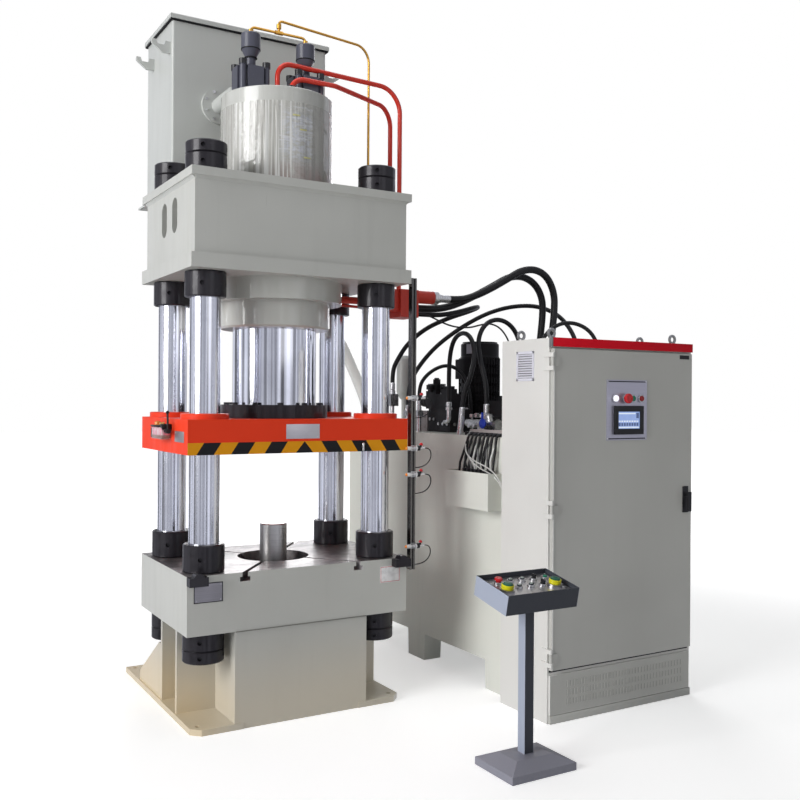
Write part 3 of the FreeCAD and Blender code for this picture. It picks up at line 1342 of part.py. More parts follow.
def cabinet():
    body_front = cabinet_front + door_thickness
    outer = block(cabinet_x0, cabinet_x1, body_front, cabinet_back, 0, cabinet_top)
    room = block(cabinet_x0 + cabinet_wall, cabinet_x1 - cabinet_wall, body_front - 1, cabinet_back - cabinet_wall,
                 door_bottom, door_top)
    low_room = block(cabinet_x0 + cabinet_wall, cabinet_x1 - cabinet_wall, body_front + cabinet_wall,
                     cabinet_back - cabinet_wall, 2 * cabinet_wall, door_bottom - 1)
    header = block(cabinet_x0 + 3, cabinet_x1 - 12, body_front - header_depth, body_front, header_bottom, cabinet_top)
    vent = block(door_x0, door_x1, body_front - vent_depth, body_front, vent_bottom, vent_top)
    eyes = []
    for x in (cabinet_x0 + eye_inset, cabinet_x1 - eye_inset):
        for y in (body_front + eye_inset, cabinet_back - eye_inset):
            collar = post(x, y, cabinet_top, cabinet_top + eye_collar, eye_radius * 0.8)
            loop_z = cabinet_top + eye_collar + eye_radius
            half = eye_wire / 2
            loop = turned([(eye_radius - eye_wire, -half), (eye_radius - half, -eye_wire), (eye_radius + half, -eye_wire),
                           (eye_radius + eye_wire, -half), (eye_radius + eye_wire, half), (eye_radius + half, eye_wire),
                           (eye_radius - half, eye_wire), (eye_radius - eye_wire, half)], (x, y, loop_z), (0, 1, 0))
            eyes.append(collar.fuse(loop))
    hinges = []
    for z in hinge_heights:
        for low, high in ((z - hinge_half * 2, z - hinge_half), (z + hinge_half, z + hinge_half * 2)):
            hinges.append(post(hinge_x, hinge_y, low, high, hinge_radius))
            hinges.append(block(hinge_x - hinge_radius, cabinet_x0, hinge_y, body_front + 40, low, high))
        hinges.append(post(hinge_x, hinge_y, z - hinge_half, z + hinge_half, hinge_pin))
    save("cabinet_body", [without(joined([outer, header, vent] + eyes + hinges), [room, low_room])])
    plate_y = cabinet_back - cabinet_wall - 40
    plate = block(cabinet_x0 + mounting_margin, cabinet_x1 - mounting_margin, plate_y - mounting_thickness, plate_y,
                  door_bottom + mounting_margin, door_top - mounting_margin)
    struts = [block(x, x + 30, plate_y, cabinet_back - cabinet_wall, z, z + 30)
              for x in (cabinet_x0 + 120, cabinet_x1 - 150) for z in (door_bottom + 120, door_top - 150)]
    save("mounting_plate", [joined([plate] + struts)])


def cabinet_door():
    face = cabinet_front
    leaf = block(door_x0, door_x1, face, face + door_thickness - thin_gap, door_bottom + hinge_gap, door_top - hinge_gap)
    control = block(panel_x0, panel_x1, face - panel_thickness, face, panel_z0, panel_z1)
    bezel = block(bezel_x0, bezel_x1, face - panel_thickness - bezel_thickness, face - panel_thickness,
                  bezel_z0, bezel_z1)
    bezel_front = face - panel_thickness - bezel_thickness
    screen = block(bezel_x0 + screen_inset, bezel_x1 - screen_inset, bezel_front - 1, bezel_front + screen_depth,
                   bezel_z0 + 1.2 * screen_inset, bezel_z1 - 1.2 * screen_inset)
    panel_front = face - panel_thickness
    rings = []
    holes = []
    for x in (lamp_x, stop_button_x, start_button_x, off_button_x):
        ring_front = panel_front - button_bezel_height
        rings.append(bar((x, panel_front, door_button_z), (x, ring_front, door_button_z), button_bezel_radius))
        if x != lamp_x:
            holes.append(bar((x, ring_front - 1, door_button_z), (x, panel_front + panel_thickness, door_button_z),
                             button_radius + button_gap))
    lamp = bar((lamp_x, panel_front - button_bezel_height, door_button_z),
               (lamp_x, panel_front - button_bezel_height - 10, door_button_z), button_radius)
    escutcheon = block(handle_x - handle_plate_width / 2, handle_x + handle_plate_width / 2, face - 6, face,
                       handle_z - handle_plate_height / 2 - 28, handle_z + handle_plate_height / 2 - 28)
    knuckles = []
    for z in hinge_heights:
        knuckles.append(post(hinge_x, hinge_y, z - hinge_half + thin_gap, z + hinge_half - thin_gap, hinge_radius))
        knuckles.append(block(hinge_x, door_x0 + 30, hinge_y - 3, face, z - hinge_half + thin_gap,
                              z + hinge_half - thin_gap))
        holes.append(post(hinge_x, hinge_y, z - hinge_half, z + hinge_half, hinge_pin + sliding_gap))
    solid = joined([leaf, control, bezel, lamp, escutcheon] + rings + knuckles)
    save("cabinet_door", [without(solid, [screen] + holes)])
    stem_front = face - 6 - handle_stand
    handle = joined([bar((handle_x, face - 6, handle_z), (handle_x, stem_front, handle_z), 11),
                     block(handle_x - handle_width / 2, handle_x + handle_width / 2, stem_front - 12, stem_front,
                           handle_z - handle_length + 14, handle_z + 14)])
    save("door_handle", [handle])


def push_button(centre, way, radius, depth, rise, head_radius=None, head_rise=0.0):
    # A plunger standing in its bezel, with a wider mushroom or palm head where it has one
    foot = FreeCAD.Vector(*centre) - FreeCAD.Vector(*way) * depth
    profile = [(0, 0), (radius, 0), (radius, depth + rise)]
    if head_radius:
        profile += [(head_radius, depth + rise), (head_radius, depth + rise + head_rise * 0.6),
                    (head_radius * 0.8, depth + rise + head_rise), (0, depth + rise + head_rise)]
    else:
        profile += [(radius - 2, depth + rise + 2), (0, depth + rise + 2)]
    return turned(profile, tuple(foot), way)


def door_buttons():
    front = cabinet_front - panel_thickness - button_bezel_height
    way = (0, -1, 0)
    depth = button_bezel_height
    save("door_estop", [push_button((stop_button_x, front, door_button_z), way, button_radius, depth, 12,
                                    mushroom_radius, mushroom_height)])
    save("door_start", [push_button((start_button_x, front, door_button_z), way, button_radius, depth, 6)])
    save("door_stop", [push_button((off_button_x, front, door_button_z), way, button_radius, depth, 6)])


def on_desk(x, across, up):
    # A place on the tilted desk: x to the right, across up its slope, up square to its panel
    tilt = math.radians(desk_tilt)
    return (pedestal_x + x, desk_centre_y + across * math.cos(tilt) - up * math.sin(tilt),
            desk_centre_z + across * math.sin(tilt) + up * math.cos(tilt))


def desk_slab(half_x, half_across, low, high):
    corners = [on_desk(side_x * half_x, side_y * half_across, low)
               for side_x, side_y in ((-1, -1), (1, -1), (1, 1), (-1, 1))]
    top = FreeCAD.Vector(*on_desk(0, 0, high)) - FreeCAD.Vector(*on_desk(0, 0, low))
    return slab(corners, tuple(top))


def desk_ring(x, across, low, high, radius):
    return bar(on_desk(x, across, low), on_desk(x, across, high), radius)


def pedestal():
    half_x = foot_width / 2
    half_y = foot_depth / 2
    edge = block(pedestal_x - half_x, pedestal_x + half_x, pedestal_y - half_y, pedestal_y + half_y, 0, foot_edge)
    lower = Part.makePolygon([FreeCAD.Vector(pedestal_x + sx * half_x, pedestal_y + sy * half_y, foot_edge)
                              for sx, sy in ((-1, -1), (1, -1), (1, 1), (-1, 1), (-1, -1))])
    upper = Part.makePolygon([FreeCAD.Vector(pedestal_x + sx * foot_flat_width / 2, pedestal_y + sy * foot_flat_depth / 2,
                                             foot_edge + foot_rise)
                              for sx, sy in ((-1, -1), (1, -1), (1, 1), (-1, 1), (-1, -1))])
    hips = Part.makeLoft([lower, upper], True, True)
    half = post_size / 2
    column = block(pedestal_x - half, pedestal_x + half, pedestal_y - half, pedestal_y + half, foot_edge,
                   desk_centre_z)
    under = desk_slab(desk_width, desk_width, -desk_height, desk_height)
    save("pedestal_stand", [without(joined([edge, hips, column]), [under])])
    outer = desk_slab(desk_width / 2, desk_depth / 2, -desk_height, 0)
    recess = desk_slab(desk_width / 2 - desk_wall, desk_depth / 2 - desk_wall, -desk_recess, 1)
    room = desk_slab(desk_width / 2 - desk_wall, desk_depth / 2 - desk_wall, -desk_height + desk_wall,
                     -desk_recess - desk_panel)
    rows = [(desk_first_x + index * desk_spacing, desk_row_back) for index in range(5)]
    rows += [(desk_first_x + index * desk_spacing, desk_row_front) for index in (1, 2, 3)]
    panel_level = -desk_recess
    rings = [desk_ring(x, across, panel_level, panel_level + button_bezel_height, button_bezel_radius * 0.8)
             for x, across in rows]
    collars = [desk_ring(x, palm_row, panel_level, panel_level + palm_collar_height, palm_collar_radius)
               for x in (-palm_x, palm_x)]
    lamps = [desk_ring(x, across, panel_level, panel_level + button_bezel_height + 9, button_radius * 0.8)
             for x, across in (rows[1], rows[2], rows[5], rows[6])]
    small = button_radius * 0.7
    under_panel = panel_level - desk_panel - 1
    holes = [desk_ring(x, across, under_panel, panel_level + button_bezel_height + 1, small + button_gap)
             for x, across in (rows[0], rows[3], rows[4], rows[7])]
    holes += [desk_ring(x, palm_row, under_panel, panel_level + palm_collar_height + 1, palm_radius * 0.6 + button_gap)
              for x in (-palm_x, palm_x)]
    desk = without(joined([without(outer, [recess, room])] + rings + collars + lamps), holes)
    save("pedestal_box", [desk])
    up = FreeCAD.Vector(*on_desk(0, 0, 1)) - FreeCAD.Vector(*on_desk(0, 0, 0))
    way = tuple(up)
    ring_top = panel_level + button_bezel_height
    save("pedestal_estop", [push_button(on_desk(*rows[0], ring_top), way, small, button_bezel_height, 9, 18, 12)])
    save("pedestal_start", [push_button(on_desk(*rows[4], ring_top), way, small, button_bezel_height, 6)])
    collar_top = panel_level + palm_collar_height
    for name, x in (("palm_button_left", -palm_x), ("palm_button_right", palm_x)):
        save(name, [push_button(on_desk(x, palm_row, collar_top), way, palm_radius * 0.6, palm_collar_height, 8,
                                palm_radius, palm_height - 8)])
    for name, place in (("selector_back", rows[3]), ("selector_front", rows[7])):
        x, across = place
        foot = push_button(on_desk(x, across, ring_top), way, small, button_bezel_height, 5)
        corners = [on_desk(x + sx * 3, across + sy * 13, ring_top + 5) for sx, sy in ((-1, -1), (1, -1), (1, 1), (-1, 1))]
        grip = slab(corners, tuple(up * 14))
        save(name, [joined([foot, grip])])


os.makedirs("parts", exist_ok=True)
column_set()
nut_sets()
bed()
base()
crown()
cylinder()
ram_and_flange()
slide()
ejector()
drum()
filling_valves()
pilot_pipe()
supply_pipes()
manifold()
head_tank()
tank_bracket()
filling_pipe()
stop_blocks()
limit_rail()
grease_pump()
station_tank()
motor()
valve_tower()
station_blocks()
hose_fittings()
free_hoses()
trough()
cabinet()
cabinet_door()
door_buttons()
pedestal()
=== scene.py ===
import math

import bmesh
import bpy
from mathutils import Matrix, Vector, noise


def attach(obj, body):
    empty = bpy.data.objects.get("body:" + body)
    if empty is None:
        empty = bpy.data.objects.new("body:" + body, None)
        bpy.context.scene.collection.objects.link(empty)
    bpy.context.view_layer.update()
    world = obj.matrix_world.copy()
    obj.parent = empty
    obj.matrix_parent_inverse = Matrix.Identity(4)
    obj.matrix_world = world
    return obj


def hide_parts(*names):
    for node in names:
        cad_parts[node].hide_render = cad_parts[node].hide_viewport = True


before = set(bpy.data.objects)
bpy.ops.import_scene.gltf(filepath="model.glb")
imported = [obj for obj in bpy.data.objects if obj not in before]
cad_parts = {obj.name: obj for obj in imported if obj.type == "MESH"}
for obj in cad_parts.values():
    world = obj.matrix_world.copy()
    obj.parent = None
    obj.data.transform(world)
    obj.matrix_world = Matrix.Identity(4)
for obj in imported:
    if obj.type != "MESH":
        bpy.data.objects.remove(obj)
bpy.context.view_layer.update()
print("frame loaded")


def connect(tree, value, socket):
    # A socket is fed by a link, by a colour or by a plain number
    if isinstance(value, Value):
        tree.links.new(value.socket, socket)
    elif socket.type == "RGBA":
        socket.default_value = (*value[:3], 1.0)
    else:
        socket.default_value = value


def addNode(tree, kind, settings=None, inputs=None, output=0):
    # Settings come first, then the values or links of the sockets
    node = tree.nodes.new(kind)
    for name, value in (settings or {}).items():
        setattr(node, name, value)
    for key, value in (inputs or {}).items():
        connect(tree, value, node.inputs[key])
    return Value(tree, node.outputs[output])


class Value:
    # One output of a node; arithmetic on it adds Math nodes
    def __init__(self, tree, socket):
        self.tree = tree
        self.socket = socket

    def math(self, operation, other=0.0, swapped=False):
        first, second = (other, self) if swapped else (self, other)
        return addNode(self.tree, "ShaderNodeMath", {"operation": operation}, {0: first, 1: second})

    def __add__(self, other):
        return self.math("ADD", other)

    def __sub__(self, other):
        return self.math("SUBTRACT", other)

    def __rsub__(self, other):
        return self.math("SUBTRACT", other, True)

    def __mul__(self, other):
        return self.math("MULTIPLY", other)

    def __truediv__(self, other):
        return self.math("DIVIDE", other)

    def __mod__(self, other):
        return self.math("FLOORED_MODULO", other)

    def __gt__(self, other):
        return self.math("GREATER_THAN", other)

    def __lt__(self, other):
        return self.math("LESS_THAN", other)

    def __abs__(self):
        return self.math("ABSOLUTE")

    __radd__ = __add__
    __rmul__ = __mul__

    def span(self, low, high, start=0.0, end=1.0):
        # A smooth step from start to end, as the value goes from low to high
        return addNode(self.tree, "ShaderNodeMapRange", {"interpolation_type": "SMOOTHSTEP"},
                       dict(enumerate((self, low, high, start, end))))

    def within(self, low, high):
        return (self > low) * (self < high)


class Finish:
    # A Principled material, read from the place on the object
    def __init__(self, name, color, roughness, metallic=0.0, coat=0.0, alpha=1.0, gloss=0.5):
        self.material = bpy.data.materials.new(name)
        self.material.use_nodes = True
        self.material.diffuse_color = (*color, 1.0)
        self.tree = self.material.node_tree
        self.shader = self.tree.nodes["Principled BSDF"]
        for socket, value in (("Base Color", color), ("Roughness", roughness), ("Metallic", metallic),
                              ("Coat Weight", coat), ("Alpha", alpha), ("Specular IOR Level", gloss)):
            connect(self.tree, value, self.shader.inputs[socket])
        self.place = addNode(self.tree, "ShaderNodeTexCoord", output=3)
        parts = self.tree.nodes.new("ShaderNodeSeparateXYZ")
        connect(self.tree, self.place, parts.inputs[0])
        self.x, self.y, self.z = (Value(self.tree, output) for output in parts.outputs)

    def noise(self, scale, detail=3.0, stretch=(1.0, 1.0, 1.0), rough=0.55):
        pulled = addNode(self.tree, "ShaderNodeVectorMath", {"operation": "MULTIPLY"},
                         {0: self.place, 1: stretch})
        return addNode(self.tree, "ShaderNodeTexNoise", None,
                       {"Vector": pulled, "Scale": scale, "Detail": detail, "Roughness": rough})

    def blend(self, factor, first, second):
        return addNode(self.tree, "ShaderNodeMix", {"data_type": "RGBA"},
                       {0: factor, 6: first, 7: second}, 2)

    def present(self, name):
        # What feeds a socket of the shader now: its link, or its own value
        socket = self.shader.inputs[name]
        if socket.links:
            return Value(self.tree, socket.links[0].from_socket)
        return tuple(socket.default_value) if socket.type == "RGBA" else socket.default_value

    def set(self, name, value):
        connect(self.tree, value, self.shader.inputs[name])
        return self

    def over(self, mask, color, **numbers):
        # Lays another coat where the mask is 1: its colour, and Roughness or Metallic by name
        self.set("Base Color", self.blend(mask, self.present("Base Color"), color))
        for name, number in numbers.items():
            self.set(name, (1.0 - mask) * self.present(name) + mask * number)
        return self

    def bump(self, height, distance):
        node = self.tree.nodes.new("ShaderNodeBump")
        connect(self.tree, distance, node.inputs["Distance"])
        connect(self.tree, height, node.inputs["Height"])
        before = self.shader.inputs["Normal"].links
        if before:
            self.tree.links.new(before[0].from_socket, node.inputs["Normal"])
        self.tree.links.new(node.outputs["Normal"], self.shader.inputs["Normal"])
        return self


def shade(color, factor):
    return tuple(min(1.0, channel * factor) for channel in color)


def painted(name, color, roughness=0.32, coat=0.15, peel=0.00012, dust=0.35, bare=None, gloss=0.4):
    # Sprayed enamel: orange peel, slow shade changes, runs of dust and a few small chips
    paint = Finish(name, color, roughness, coat=coat, gloss=gloss)
    slow = paint.noise(1.3, 2.0)
    runs = paint.noise(3.0, 4.0, (6.0, 6.0, 0.6))
    tone = paint.blend(slow.span(0.3, 0.7), shade(color, 0.95), shade(color, 1.03))
    tone = paint.blend(runs.span(0.5, 0.9, 0.0, dust), tone, shade(color, 0.84))
    chips = paint.noise(95.0, 2.0).span(0.80, 0.83)
    paint.set("Base Color", paint.blend(chips, tone, bare or shade(color, 0.45)))
    paint.set("Roughness", runs.span(0.2, 0.8, roughness - 0.05, roughness + 0.12))
    return paint.bump(paint.noise(420.0, 2.0), peel)


def turnedMetal(name, color, roughness, lines=(2.0, 2.0, 900.0), depth=0.00003):
    # Machined or polished metal: fine tool lines across one axis and soft smears
    metal = Finish(name, color, roughness, metallic=1.0)
    fine = metal.noise(1.0, 3.0, lines, 0.7)
    smear = metal.noise(4.0, 3.0)
    metal.set("Base Color", metal.blend(smear.span(0.3, 0.75), color, shade(color, 0.86)))
    metal.set("Roughness", fine.span(0.3, 0.7, roughness * 0.75, roughness * 1.3))
    return metal.bump(fine, depth)


def blackened(name, color, roughness=0.38, metallic=0.3, coat=0.0):
    # Oiled black oxide: blotchy sheen with rubbed grey spots
    steel = Finish(name, color, roughness, metallic=metallic, coat=coat, gloss=0.3)
    blot = steel.noise(22.0, 4.0)
    rub = steel.noise(60.0, 5.0).span(0.62, 0.8, 0.0, 0.5)
    steel.set("Base Color", steel.blend(blot, shade(color, 0.7), shade(color, 1.4)))
    steel.over(rub, shade(color, 4.0))
    steel.set("Roughness", blot.span(0.3, 0.7, roughness - 0.08, roughness + 0.12))
    return steel.bump(steel.noise(520.0, 2.0), 0.00005)


def moulded(name, color, roughness=0.4, grain=0.00008, coat=0.0, gloss=0.3):
    # Moulded plastic or rubber with a fine grain
    plastic = Finish(name, color, roughness, coat=coat, gloss=gloss)
    slow = plastic.noise(30.0, 3.0)
    plastic.set("Base Color", plastic.blend(slow.span(0.3, 0.7), shade(color, 0.85), shade(color, 1.12)))
    plastic.set("Roughness", slow.span(0.3, 0.7, roughness - 0.06, roughness + 0.08))
    return plastic.bump(plastic.noise(900.0, 2.0), grain)


def clear(name, color, alpha, roughness=0.14, coat=0.5):
    # See-through plastic, a little cloudy
    plastic = Finish(name, color, roughness, coat=coat, alpha=alpha)
    cloud = plastic.noise(14.0)
    plastic.set("Base Color", plastic.blend(cloud, shade(color, 0.93), shade(color, 1.08)))
    plastic.set("Roughness", cloud.span(0.3, 0.7, roughness * 0.7, roughness * 1.5))
    return plastic.bump(plastic.noise(60.0, 2.0), 0.0004)


def glowing(name, color, light):
    # A lit lens or a screen's field
    lens = moulded(name, color, 0.2, 0.00002, 0.5)
    lens.shader.inputs["Emission Strength"].default_value = 1.0
    return lens.set("Emission Color", lens.blend(lens.noise(40.0).span(0.3, 0.7), shade(light, 0.94), light))


pressColor = (0.55, 0.555, 0.525)
pressPaint = painted("PressPaint", pressColor)
basePaint = painted("BasePaint", shade(pressColor, 0.94))
bedPaint = painted("BedPaint", pressColor)
filmedPaint = painted("DrumPaint", pressColor, roughness=0.25, coat=0.5)
cylinderPaint = painted("CylinderPaint", (0.53, 0.535, 0.50), roughness=0.3, coat=0.7, peel=0.00004)
tankPaint = painted("TankPaint", (0.55, 0.565, 0.545), dust=0.25)
stationPaint = painted("StationPaint", (0.76, 0.77, 0.71), dust=0.4)
cabinetPaint = painted("CabinetPaint", (0.74, 0.735, 0.71), roughness=0.42, coat=0.1, peel=0.0003, dust=0.12)
doorPaint = painted("DoorPaint", (0.53, 0.53, 0.50), roughness=0.45, coat=0.1, peel=0.0003, dust=0.12)
slideRed = (0.86, 0.055, 0.018)
chippedRed = (0.5, 0.12, 0.08)
slidePaint = painted("SlidePaint", slideRed, roughness=0.4, coat=0.0, dust=0.1, bare=chippedRed, gloss=0.12)
redPaint = painted("RedPaint", slideRed, roughness=0.36, coat=0.1, dust=0.1, bare=chippedRed, gloss=0.2)
headerRed = painted("HeaderRed", (0.72, 0.008, 0.022), roughness=0.4, coat=0.0, dust=0.1, gloss=0.1)
pipeRed = painted("PipeRed", (0.80, 0.045, 0.022), roughness=0.22, coat=0.25, dust=0.05, gloss=0.3)
manifoldRed = painted("ManifoldRed", (0.62, 0.045, 0.026), roughness=0.35, coat=0.1, dust=0.4)
slatePaint = painted("SlatePaint", (0.050, 0.054, 0.066), roughness=0.4, coat=0.0, peel=0.0002, dust=0.1,
                     gloss=0.2)
valveColor = (0.080, 0.082, 0.112)
valvePaint = painted("ValvePaint", valveColor, roughness=0.35, dust=0.2, bare=(0.25, 0.25, 0.27))
valveBoltPaint = painted("ValveBoltPaint", valveColor, roughness=0.35, dust=0.2)
motorPaint = painted("MotorPaint", (0.007, 0.006, 0.007), roughness=0.5, coat=0.0, dust=0.2,
                     bare=(0.1, 0.1, 0.1), gloss=0.2)
ventShade = painted("VentShade", (0.27, 0.27, 0.25), roughness=0.5)
seamPaint = painted("SeamPaint", (0.20, 0.20, 0.18), roughness=0.5)
louverPaint = painted("LouverPaint", (0.72, 0.72, 0.80), roughness=0.35, dust=0.1)
greyPaint = painted("GreyPaint", (0.16, 0.165, 0.17), roughness=0.4, dust=0.2)
chrome = turnedMetal("HardChrome", (0.76, 0.77, 0.83), 0.17, (55.0, 55.0, 0.2), 0.0003)
ramChrome = turnedMetal("RamChrome", (0.76, 0.77, 0.83), 0.10, (30.0, 30.0, 0.2), 0.0006)
rodSteel = turnedMetal("RodSteel", (0.56, 0.55, 0.54), 0.34)
blackSteel = blackened("BlackOxide", (0.017, 0.015, 0.019), coat=0.25)
darkSteel = blackened("DarkSteel", (0.018, 0.017, 0.019), 0.5)
# Painted shade: the station manifold is made near black to stand for the motor's shadow over it
manifoldShadowBlack = blackened("ManifoldShadowBlack", (0.014, 0.013, 0.014), 0.5)
boreBlack = blackened("BoreBlack", (0.006, 0.006, 0.007), 0.7, 0.0)
zinc = turnedMetal("ZincPlate", (0.66, 0.66, 0.66), 0.3, (300.0, 300.0, 40.0))
palePlate = turnedMetal("PalePlate", (0.55, 0.53, 0.55), 0.45, (4.0, 500.0, 500.0))
barePlate = turnedMetal("BarePlate", (0.30, 0.29, 0.31), 0.5, (4.0, 500.0, 500.0))
goldPipe = turnedMetal("YellowZinc", (0.66, 0.36, 0.07), 0.3, (4.0, 4.0, 4.0))
brass = turnedMetal("Brass", (0.80, 0.55, 0.20), 0.25, (300.0, 40.0, 300.0))
railMetal = turnedMetal("RailMetal", (0.16, 0.155, 0.15), 0.22, (700.0, 500.0, 3.0))
hoseRubber = moulded("HoseRubber", (0.009, 0.009, 0.010), 0.42, 0.00025)
greyCable = moulded("GreyCable", (0.16, 0.16, 0.16), 0.4)
whiteCable = moulded("WhiteCable", (0.62, 0.62, 0.60), 0.4)
blackPlastic = moulded("BlackPlastic", (0.012, 0.012, 0.014), 0.42)
lensGrey = moulded("LensGrey", (0.30, 0.36, 0.33), 0.25, coat=0.4)
whitePlastic = moulded("WhitePlastic", (0.75, 0.75, 0.76), 0.35, coat=0.2)
orangePlastic = moulded("OrangePlastic", (0.85, 0.27, 0.03), 0.3, coat=0.3)
redPlastic = moulded("RedPlastic", (0.56, 0.014, 0.018), 0.28, coat=0.3)
darkRedPlastic = moulded("DarkRedPlastic", (0.28, 0.015, 0.015), 0.25, coat=0.3)
greenPlastic = moulded("GreenPlastic", (0.01, 0.22, 0.12), 0.28, coat=0.3)
palmGreen = moulded("PalmGreen", (0.012, 0.11, 0.065), 0.35, coat=0.2)
yellowPlastic = moulded("YellowPlastic", (0.80, 0.74, 0.02), 0.32, coat=0.2)
bluePlastic = moulded("BluePlastic", (0.02, 0.05, 0.45), 0.3)
tapePlastic = moulded("TapePlastic", (0.62, 0.60, 0.28), 0.4)
greaseFill = moulded("GreaseFill", (0.80, 0.20, 0.30), 0.35, 0.0004, 0.3)
clearHose = clear("ClearHose", (0.82, 0.83, 0.80), 0.55)
clearCup = clear("ClearCup", (0.85, 0.80, 0.83), 0.2)
filmWrap = clear("FilmWrap", (0.64, 0.63, 0.59), 0.64, 0.09, 1.0)
lampWhite = glowing("LampWhite", (0.8, 0.8, 0.85), (0.88, 0.88, 1.0))
screenBlue = glowing("ScreenBlue", (0.1, 0.1, 0.14), (0.24, 0.35, 0.66))
screenPale = glowing("ScreenPale", (0.2, 0.2, 0.22), (0.62, 0.70, 0.82))
screenDark = glowing("ScreenDark", (0.02, 0.03, 0.06), (0.06, 0.09, 0.20))
print("finishes made")

# Warning stripes on the slide's front: slanted both ways from a triangle in the middle
stripes = {"low": 1.332, "high": 1.390, "front": -0.3955, "lean": 0.038, "first": 0.092, "pitch": 0.172,
           "last": 0.525, "triangle": 0.048, "yellow": (0.80, 0.33, 0.010), "black": (0.014, 0.014, 0.016)}
down = (stripes["high"] - slidePaint.z) / (stripes["high"] - stripes["low"])
band = (slidePaint.y < stripes["front"]) * (slidePaint.z < stripes["high"])
out = abs(slidePaint.x)
leaned = out - down * stripes["lean"]
slanted = (leaned - stripes["first"]) % stripes["pitch"] < stripes["pitch"] / 2
slanted = slanted * leaned.within(stripes["first"], stripes["last"])
black = slanted.math("MAXIMUM", out < down * stripes["triangle"])
slidePaint.over(band, stripes["yellow"]).over(band * black, stripes["black"])

# The bed's top, its slots and its bore are bare machined steel
bedSteel = {"half": (0.5985, 0.3935), "from": 0.60, "top": 0.7596, "color": (0.34, 0.32, 0.32), "scuff": 0.35}
halfWidth, halfDepth = bedSteel["half"]
inside = (abs(bedPaint.x) < halfWidth) * (abs(bedPaint.y) < halfDepth) * (bedPaint.z > bedSteel["from"])
bareTop = inside.math("MAXIMUM", bedPaint.z > bedSteel["top"])
scuffs = bedPaint.noise(7.0, 5.0, rough=0.7).span(0.35, 0.68)
scuffed = bedPaint.blend(scuffs, shade(bedSteel["color"], bedSteel["scuff"]), bedSteel["color"])
bedPaint.over(bareTop, scuffed, Roughness=0.42, Metallic=0.8)

# Painted reflected light: the base is painted a warmer cream towards the floor, and more so on its lit left
warmBounce = {"height": (0.50, 0.05), "left": (-0.30, -0.55, 0.4, 0.9), "color": (0.76, 0.63, 0.43)}
warmBounceMask = basePaint.z.span(*warmBounce["height"]) * basePaint.x.span(*warmBounce["left"])
basePaint.over(warmBounceMask, warmBounce["color"])

# Painted light: the desk box's ends and the post's sides are painted a paler slate for their lit sheen beside
# the darker front; the box is bare metal round the palm buttons
deskPlace = (0.583, -1.456, 0.812)
deskTilt = math.radians(11.9)
slateTone = {"box": 0.1921, "post": (0.0234, 0.03), "postFrom": 0.068, "postTo": 0.70,
             "pale": (0.38, 0.42, 0.52), "base": (0.28, 0.28, 0.33)}
bezel = {"aside": (0.095, 0.166), "middle": -1.4785, "half": 0.037, "height": (0.778, 0.812),
         "color": (0.42, 0.41, 0.42)}
aside = abs(slatePaint.x - deskPlace[0])
# Painted sheen: the post's sides and the box's ends are painted lighter than the front, as if lit
postSide = aside.within(*slateTone["post"]) * slatePaint.z.within(slateTone["postFrom"], slateTone["postTo"])
litSheenSides = postSide.math("MAXIMUM", (aside > slateTone["box"]) * (slatePaint.z > slateTone["postTo"]))
slatePaint.over(slatePaint.z < slateTone["postFrom"], slateTone["base"]).over(litSheenSides, slateTone["pale"])
onBezel = aside.within(*bezel["aside"]) * (abs(slatePaint.y - bezel["middle"]) < bezel["half"])
onBezel = onBezel * slatePaint.z.within(*bezel["height"])
slatePaint.over(onBezel, bezel["color"], Roughness=0.35, Metallic=0.9)

# Bare metal panels: the desk's floor inside its rim, and the plate round the door's screen and buttons
deskFloor = {"half": (0.1850, 0.1100), "level": (-0.0225, -0.0170), "grain": (400.0, 5.0, 5.0),
             "dark": (0.42, 0.41, 0.42), "light": (0.62, 0.61, 0.62)}
ahead = slatePaint.y - deskPlace[1]
above = slatePaint.z - deskPlace[2]
slope = ahead * math.cos(deskTilt) + above * math.sin(deskTilt)
depth = above * math.cos(deskTilt) - ahead * math.sin(deskTilt)
onDesk = (aside < deskFloor["half"][0]) * (abs(slope) < deskFloor["half"][1])
onDesk = onDesk * depth.within(*deskFloor["level"])
brushed = slatePaint.noise(1.0, 3.0, deskFloor["grain"])
slatePaint.over(onDesk, slatePaint.blend(brushed, deskFloor["dark"], deskFloor["light"]), Roughness=0.3,
                Metallic=1.0)
panel = {"x": (1.3655, 1.6505), "z": (1.3995, 1.7125), "face": -1.0965, "grain": (5.0, 5.0, 400.0),
         "dark": (0.40, 0.39, 0.45), "light": (0.50, 0.49, 0.55)}
onPanel = doorPaint.x.within(*panel["x"]) * doorPaint.z.within(*panel["z"]) * (doorPaint.y < panel["face"])
grained = doorPaint.noise(1.0, 3.0, panel["grain"])
doorPaint.over(onPanel, doorPaint.blend(grained, panel["dark"], panel["light"]), Roughness=0.42, Metallic=1.0)

# Parts of one node in another finish: valve bolts' heads, the light block behind the valves, the cable duct
# on the manifold's left and the lifting eyes on the cabinet
boltHeads = {"from": 3.3475, "color": (0.012, 0.012, 0.014)}
lightBlock = {"back": 0.4195, "top": 1.5325, "left": 1.0, "color": (0.36, 0.32, 0.32)}
cableDuct = {"right": 1.2, "color": (0.50, 0.46, 0.45)}
liftingEyes = {"from": 1.9132, "color": (0.30, 0.30, 0.30)}
valveBoltPaint.over(valveBoltPaint.z > boltHeads["from"], boltHeads["color"])
behind = (darkSteel.y > lightBlock["back"]) * (darkSteel.z < lightBlock["top"])
darkSteel.over(behind * (darkSteel.x > lightBlock["left"]), lightBlock["color"])
manifoldShadowBlack.over(manifoldShadowBlack.x < cableDuct["right"], cableDuct["color"])
cabinetPaint.over(cabinetPaint.z > liftingEyes["from"], liftingEyes["color"], Roughness=0.35, Metallic=0.9)

